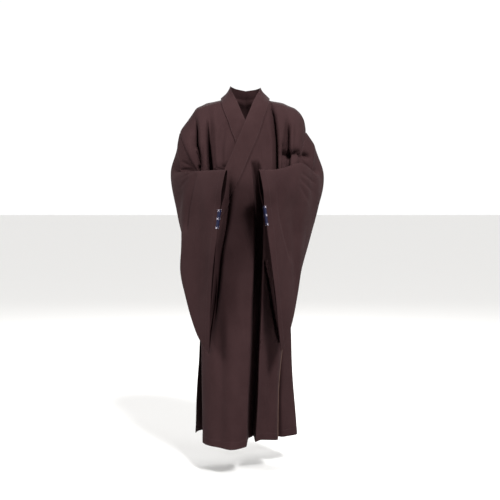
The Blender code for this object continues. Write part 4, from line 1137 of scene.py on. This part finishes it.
def thread_group(name, lengths):
    """The start of a node tree that turns lines into thread: its inputs, and the lines as curves."""
    tree = bpy.data.node_groups.new(name, "GeometryNodeTree")
    sockets = [("Geometry", "INPUT", "Geometry")]
    sockets += [(label, "INPUT", "Float") for label in lengths]
    sockets += [("Thread", "INPUT", "Material"), ("Geometry", "OUTPUT", "Geometry")]
    for label, way, kind in sockets:
        tree.interface.new_socket(label, in_out=way, socket_type="NodeSocket" + kind)
    given = node(tree, "NodeGroupInput").outputs
    line = node(tree, "GeometryNodeMeshToCurve", links={"Mesh": given["Geometry"]})
    return tree, given, line.outputs["Curve"]


def finished_group(tree, given, made):
    """The end of such a tree: smooth shading, real geometry and the thread's material."""
    smooth = node(tree, "GeometryNodeSetShadeSmooth", links={"Geometry": made})
    real = node(tree, "GeometryNodeRealizeInstances", links={"Geometry": smooth.outputs["Geometry"]})
    dye = {"Geometry": real.outputs["Geometry"], "Material": given["Thread"]}
    dyed = node(tree, "GeometryNodeSetMaterial", links=dye)
    node(tree, "NodeGroupOutput", links={"Geometry": dyed.outputs["Geometry"]})
    return tree


def thread_tree():
    """Geometry Nodes: a round thread along every line."""
    tree, given, line = thread_group("thread_along_lines", ["Thread Radius"])
    radius = {"Radius": given["Thread Radius"]}
    section = node(tree, "GeometryNodeCurvePrimitiveCircle", values={"Resolution": 6}, links=radius)
    links = {"Curve": line, "Profile Curve": section.outputs["Curve"]}
    tube = node(tree, "GeometryNodeCurveToMesh", values={"Fill Caps": True}, links=links)
    return finished_group(tree, given, tube.outputs["Mesh"])


def through_nodes(name, lines, tree, inputs):
    """The lines as one plain mesh, made by a node tree with its inputs set by their sockets' identifiers."""
    mesh = bpy.data.meshes.new(name + "_lines")
    starts = np.cumsum([0] + [len(line) for line in lines])
    edges = [(k, k + 1) for a, b in zip(starts[:-1], starts[1:]) for k in range(a, b - 1)]
    mesh.from_pydata(np.concatenate(lines).tolist(), edges, [])
    holder = in_scene(name + "_lines", mesh)
    made = holder.modifiers.new("threads", "NODES")
    made.node_group = tree
    for item in tree.interface.items_tree:
        if item.in_out == "INPUT" and item.name in inputs:
            made[item.identifier] = inputs[item.name]
    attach(plain_copy(holder, name), "root")


def beside_edge(grid, normal, edge, inset, lift, span=(0.0, 1.0)):
    """Points over a grid at an inset from its hem, top, first or last edge, lifted off its outer face."""
    lifted = grid + normal * lift
    if edge in ("first", "last"):
        lifted = lifted.transpose(1, 0, 2)
    if edge in ("last", "hem"):
        lifted = lifted[::-1]
    length = run_length(lifted)
    first, last = (int(round(share * (lifted.shape[1] - 1))) for share in span)
    return np.array([interp_points(inset, length[:, k], lifted[:, k]) for k in range(first, last + 1)])


def at_height(line, height):
    """The point of a line that runs down the cloth at a height."""
    line = line[np.argsort(line[:, 2])]
    return interp_points(height, line[:, 2], line)


def cuff_bar(side):
    """The satin threads and the knots of one bar, as two lists of lines."""
    grid, normal = sewn["robe_sleeve_" + side]
    top, bottom = BARS[side]
    insets = (BAR_REACH[side], BAR_REACH[side] * MID_REACH, *NEAR_EDGE)
    lift = WALL / 2 + SATIN_RADIUS * SATIN_SHOWS
    outer = slice(HALF_ROUND + OFF_BOTTOM, FINE_SLEEVE_ROUND - OFF_TOP)
    inner = slice(OFF_TOP, HALF_ROUND - OFF_BOTTOM)
    faces = []
    for sheet in (outer, inner):
        rims = [beside_edge(grid[:, sheet], normal[:, sheet], "hem", inset, lift) for inset in insets]
        faces.append(rims + [rims[-1] + (rims[-1] - rims[-2]) * RUN_PAST])
    satin = []
    uneven = np.random.default_rng(BAR_SEEDS[side])
    for height in np.linspace(top, bottom, int((top - bottom) / SATIN_PITCH)):
        strays = uneven.normal(0.0, SATIN_UNEVEN, 2)
        front, back = (
            [at_height(rim, height + stray * (k == 0)) for k, rim in enumerate(rims)]
            for rims, stray in zip(faces, strays)
        )
        satin.append(np.array(front + back[::-1]))
    knots = []
    for share in KNOT_SHARES:
        height = top + (bottom - top) * share
        for rims in faces:
            for rise in (-KNOT_HALF_HEIGHT, KNOT_HALF_HEIGHT):
                cross = [at_height(rim, height + rise * part) for rim, part in zip(rims, KNOT_HEIGHTS)]
                lift = np.cross(cross[1] - cross[2], (0.0, 0.0, 1.0))
                lift *= np.sign(lift @ (rims[0].mean(axis=0) - grid.mean(axis=(0, 1)))) / np.linalg.norm(lift)
                knots.append(np.array(cross) + lift * (SATIN_RADIUS + KNOT_RADIUS) * KNOT_SHOWS)
    return satin, knots


threads = thread_tree()
# Navy rayon satin thread, which gives the eye a deep, soft blue, and white cotton for the knots.
navy_thread = thread_material("navy_satin_thread", "#0c1240", "#04071c", 0.62, 0.0)
white_thread = thread_material("white_knot_thread", "#d8d0da", "#a79fb0", 0.65, 0.10)
for side in ("left", "right"):
    satin, knots = cuff_bar(side)
    sizes = {"Thread Radius": SATIN_RADIUS, "Thread": navy_thread}
    through_nodes("cuff_bar_" + side, satin, threads, sizes)
    sizes = {"Thread Radius": KNOT_RADIUS, "Thread": white_thread}
    through_nodes("cuff_knots_" + side, knots, threads, sizes)

# ---------------------------------------------------------------------------------------------------
# Stitching. Hems, turned side edges, the neckband and the sleeve mouths are machine-stitched with brown
# polyester thread, in stitches of 3 mm that sink a little into the cloth.
PITCH = 0.0034
STITCH_LENGTH = 0.0027
THREAD_WIDTH = 0.00055
HEM_STITCH, SLIT_STITCH = HEM - 0.002, 0.008  # from the hem's and the free side's edge
# The stitched part of an edge, as shares of it: of a panel's open side, of the overlap's, the whole edge
# and the back seam below the neck.
SLIT_SPAN, OVERLAP_SPAN, WHOLE, BELOW_NECK = (0.66, 1.0), (0.60, 1.0), (0.0, 1.0), (0.10, 1.0)
HEMMED = ("robe_body_left_front", "robe_body_left_back", "robe_body_right_back", "robe_front_overlap")
# piece, then for each row of stitches: the sheet, its edge, the inset from it and the span of that edge
STITCHING = {
    "body_stitches": [
        *((sheet, "hem", HEM_STITCH, WHOLE) for sheet in HEMMED),
        *((sheet, "last", SLIT_STITCH, SLIT_SPAN) for sheet in HEMMED[:3]),
        ("robe_front_overlap", "last", SLIT_STITCH, OVERLAP_SPAN),
        ("robe_body_left_back", "first", 0.006, BELOW_NECK),
    ],
    "neckband_stitches": [
        (f"robe_neckband_{half}", edge, inset, WHOLE)
        for half in ("left", "right") for edge, inset in (("last", 0.0025), ("first", 0.0030))
    ],
    "sleeve_stitches": [
        (f"robe_sleeve_{half}", edge, inset, WHOLE)
        for edge, inset in (("hem", HEM_STITCH), ("top", 0.005)) for half in ("left", "right")
    ],
}


def stitch_tree():
    """Geometry Nodes: a row of separate stitches along every line."""
    tree, given, line = thread_group("stitches_along_lines", ["Pitch", "Stitch Length", "Thread Width"])
    places = node(
        tree, "GeometryNodeCurveToPoints", {"mode": "LENGTH"}, links={"Curve": line, "Length": given["Pitch"]}
    ).outputs
    along = node(tree, "FunctionNodeAlignRotationToVector", {"axis": "Z"}, {}, {"Vector": places["Tangent"]})
    bead = node(tree, "GeometryNodeMeshUVSphere", values={"Segments": 5, "Rings": 4, "Radius": 0.5})
    width = given["Thread Width"]
    size = node(tree, "ShaderNodeCombineXYZ", links={"X": width, "Y": width, "Z": given["Stitch Length"]})
    row = node(tree, "GeometryNodeInstanceOnPoints", links={
        "Points": places["Points"], "Instance": bead.outputs["Mesh"],
        "Rotation": along.outputs["Rotation"], "Scale": size.outputs["Vector"],
    })
    return finished_group(tree, given, row.outputs["Instances"])


stitches = stitch_tree()
# Brown polyester sewing thread, a shade lighter than the cloth, with a faint gloss.
brown_thread = thread_material("brown_sewing_thread", "#4a3638", "#2a1c1d", 0.60, 0.05)
sizes = {"Pitch": PITCH, "Stitch Length": STITCH_LENGTH, "Thread Width": THREAD_WIDTH, "Thread": brown_thread}
for name, rows_of_stitches in STITCHING.items():
    lines = []
    for sheet, edge, inset, span in rows_of_stitches:
        grid, normal = sewn[sheet]
        if "sleeve" in sheet:
            grid, normal = (np.concatenate([values, values[:, :1]], axis=1) for values in (grid, normal))
        lift = (BAND_WALL if "neckband" in sheet else WALL) / 2
        lines.append(beside_edge(grid, normal, edge, inset, lift, span))
    through_nodes(name, lines, stitches, sizes)
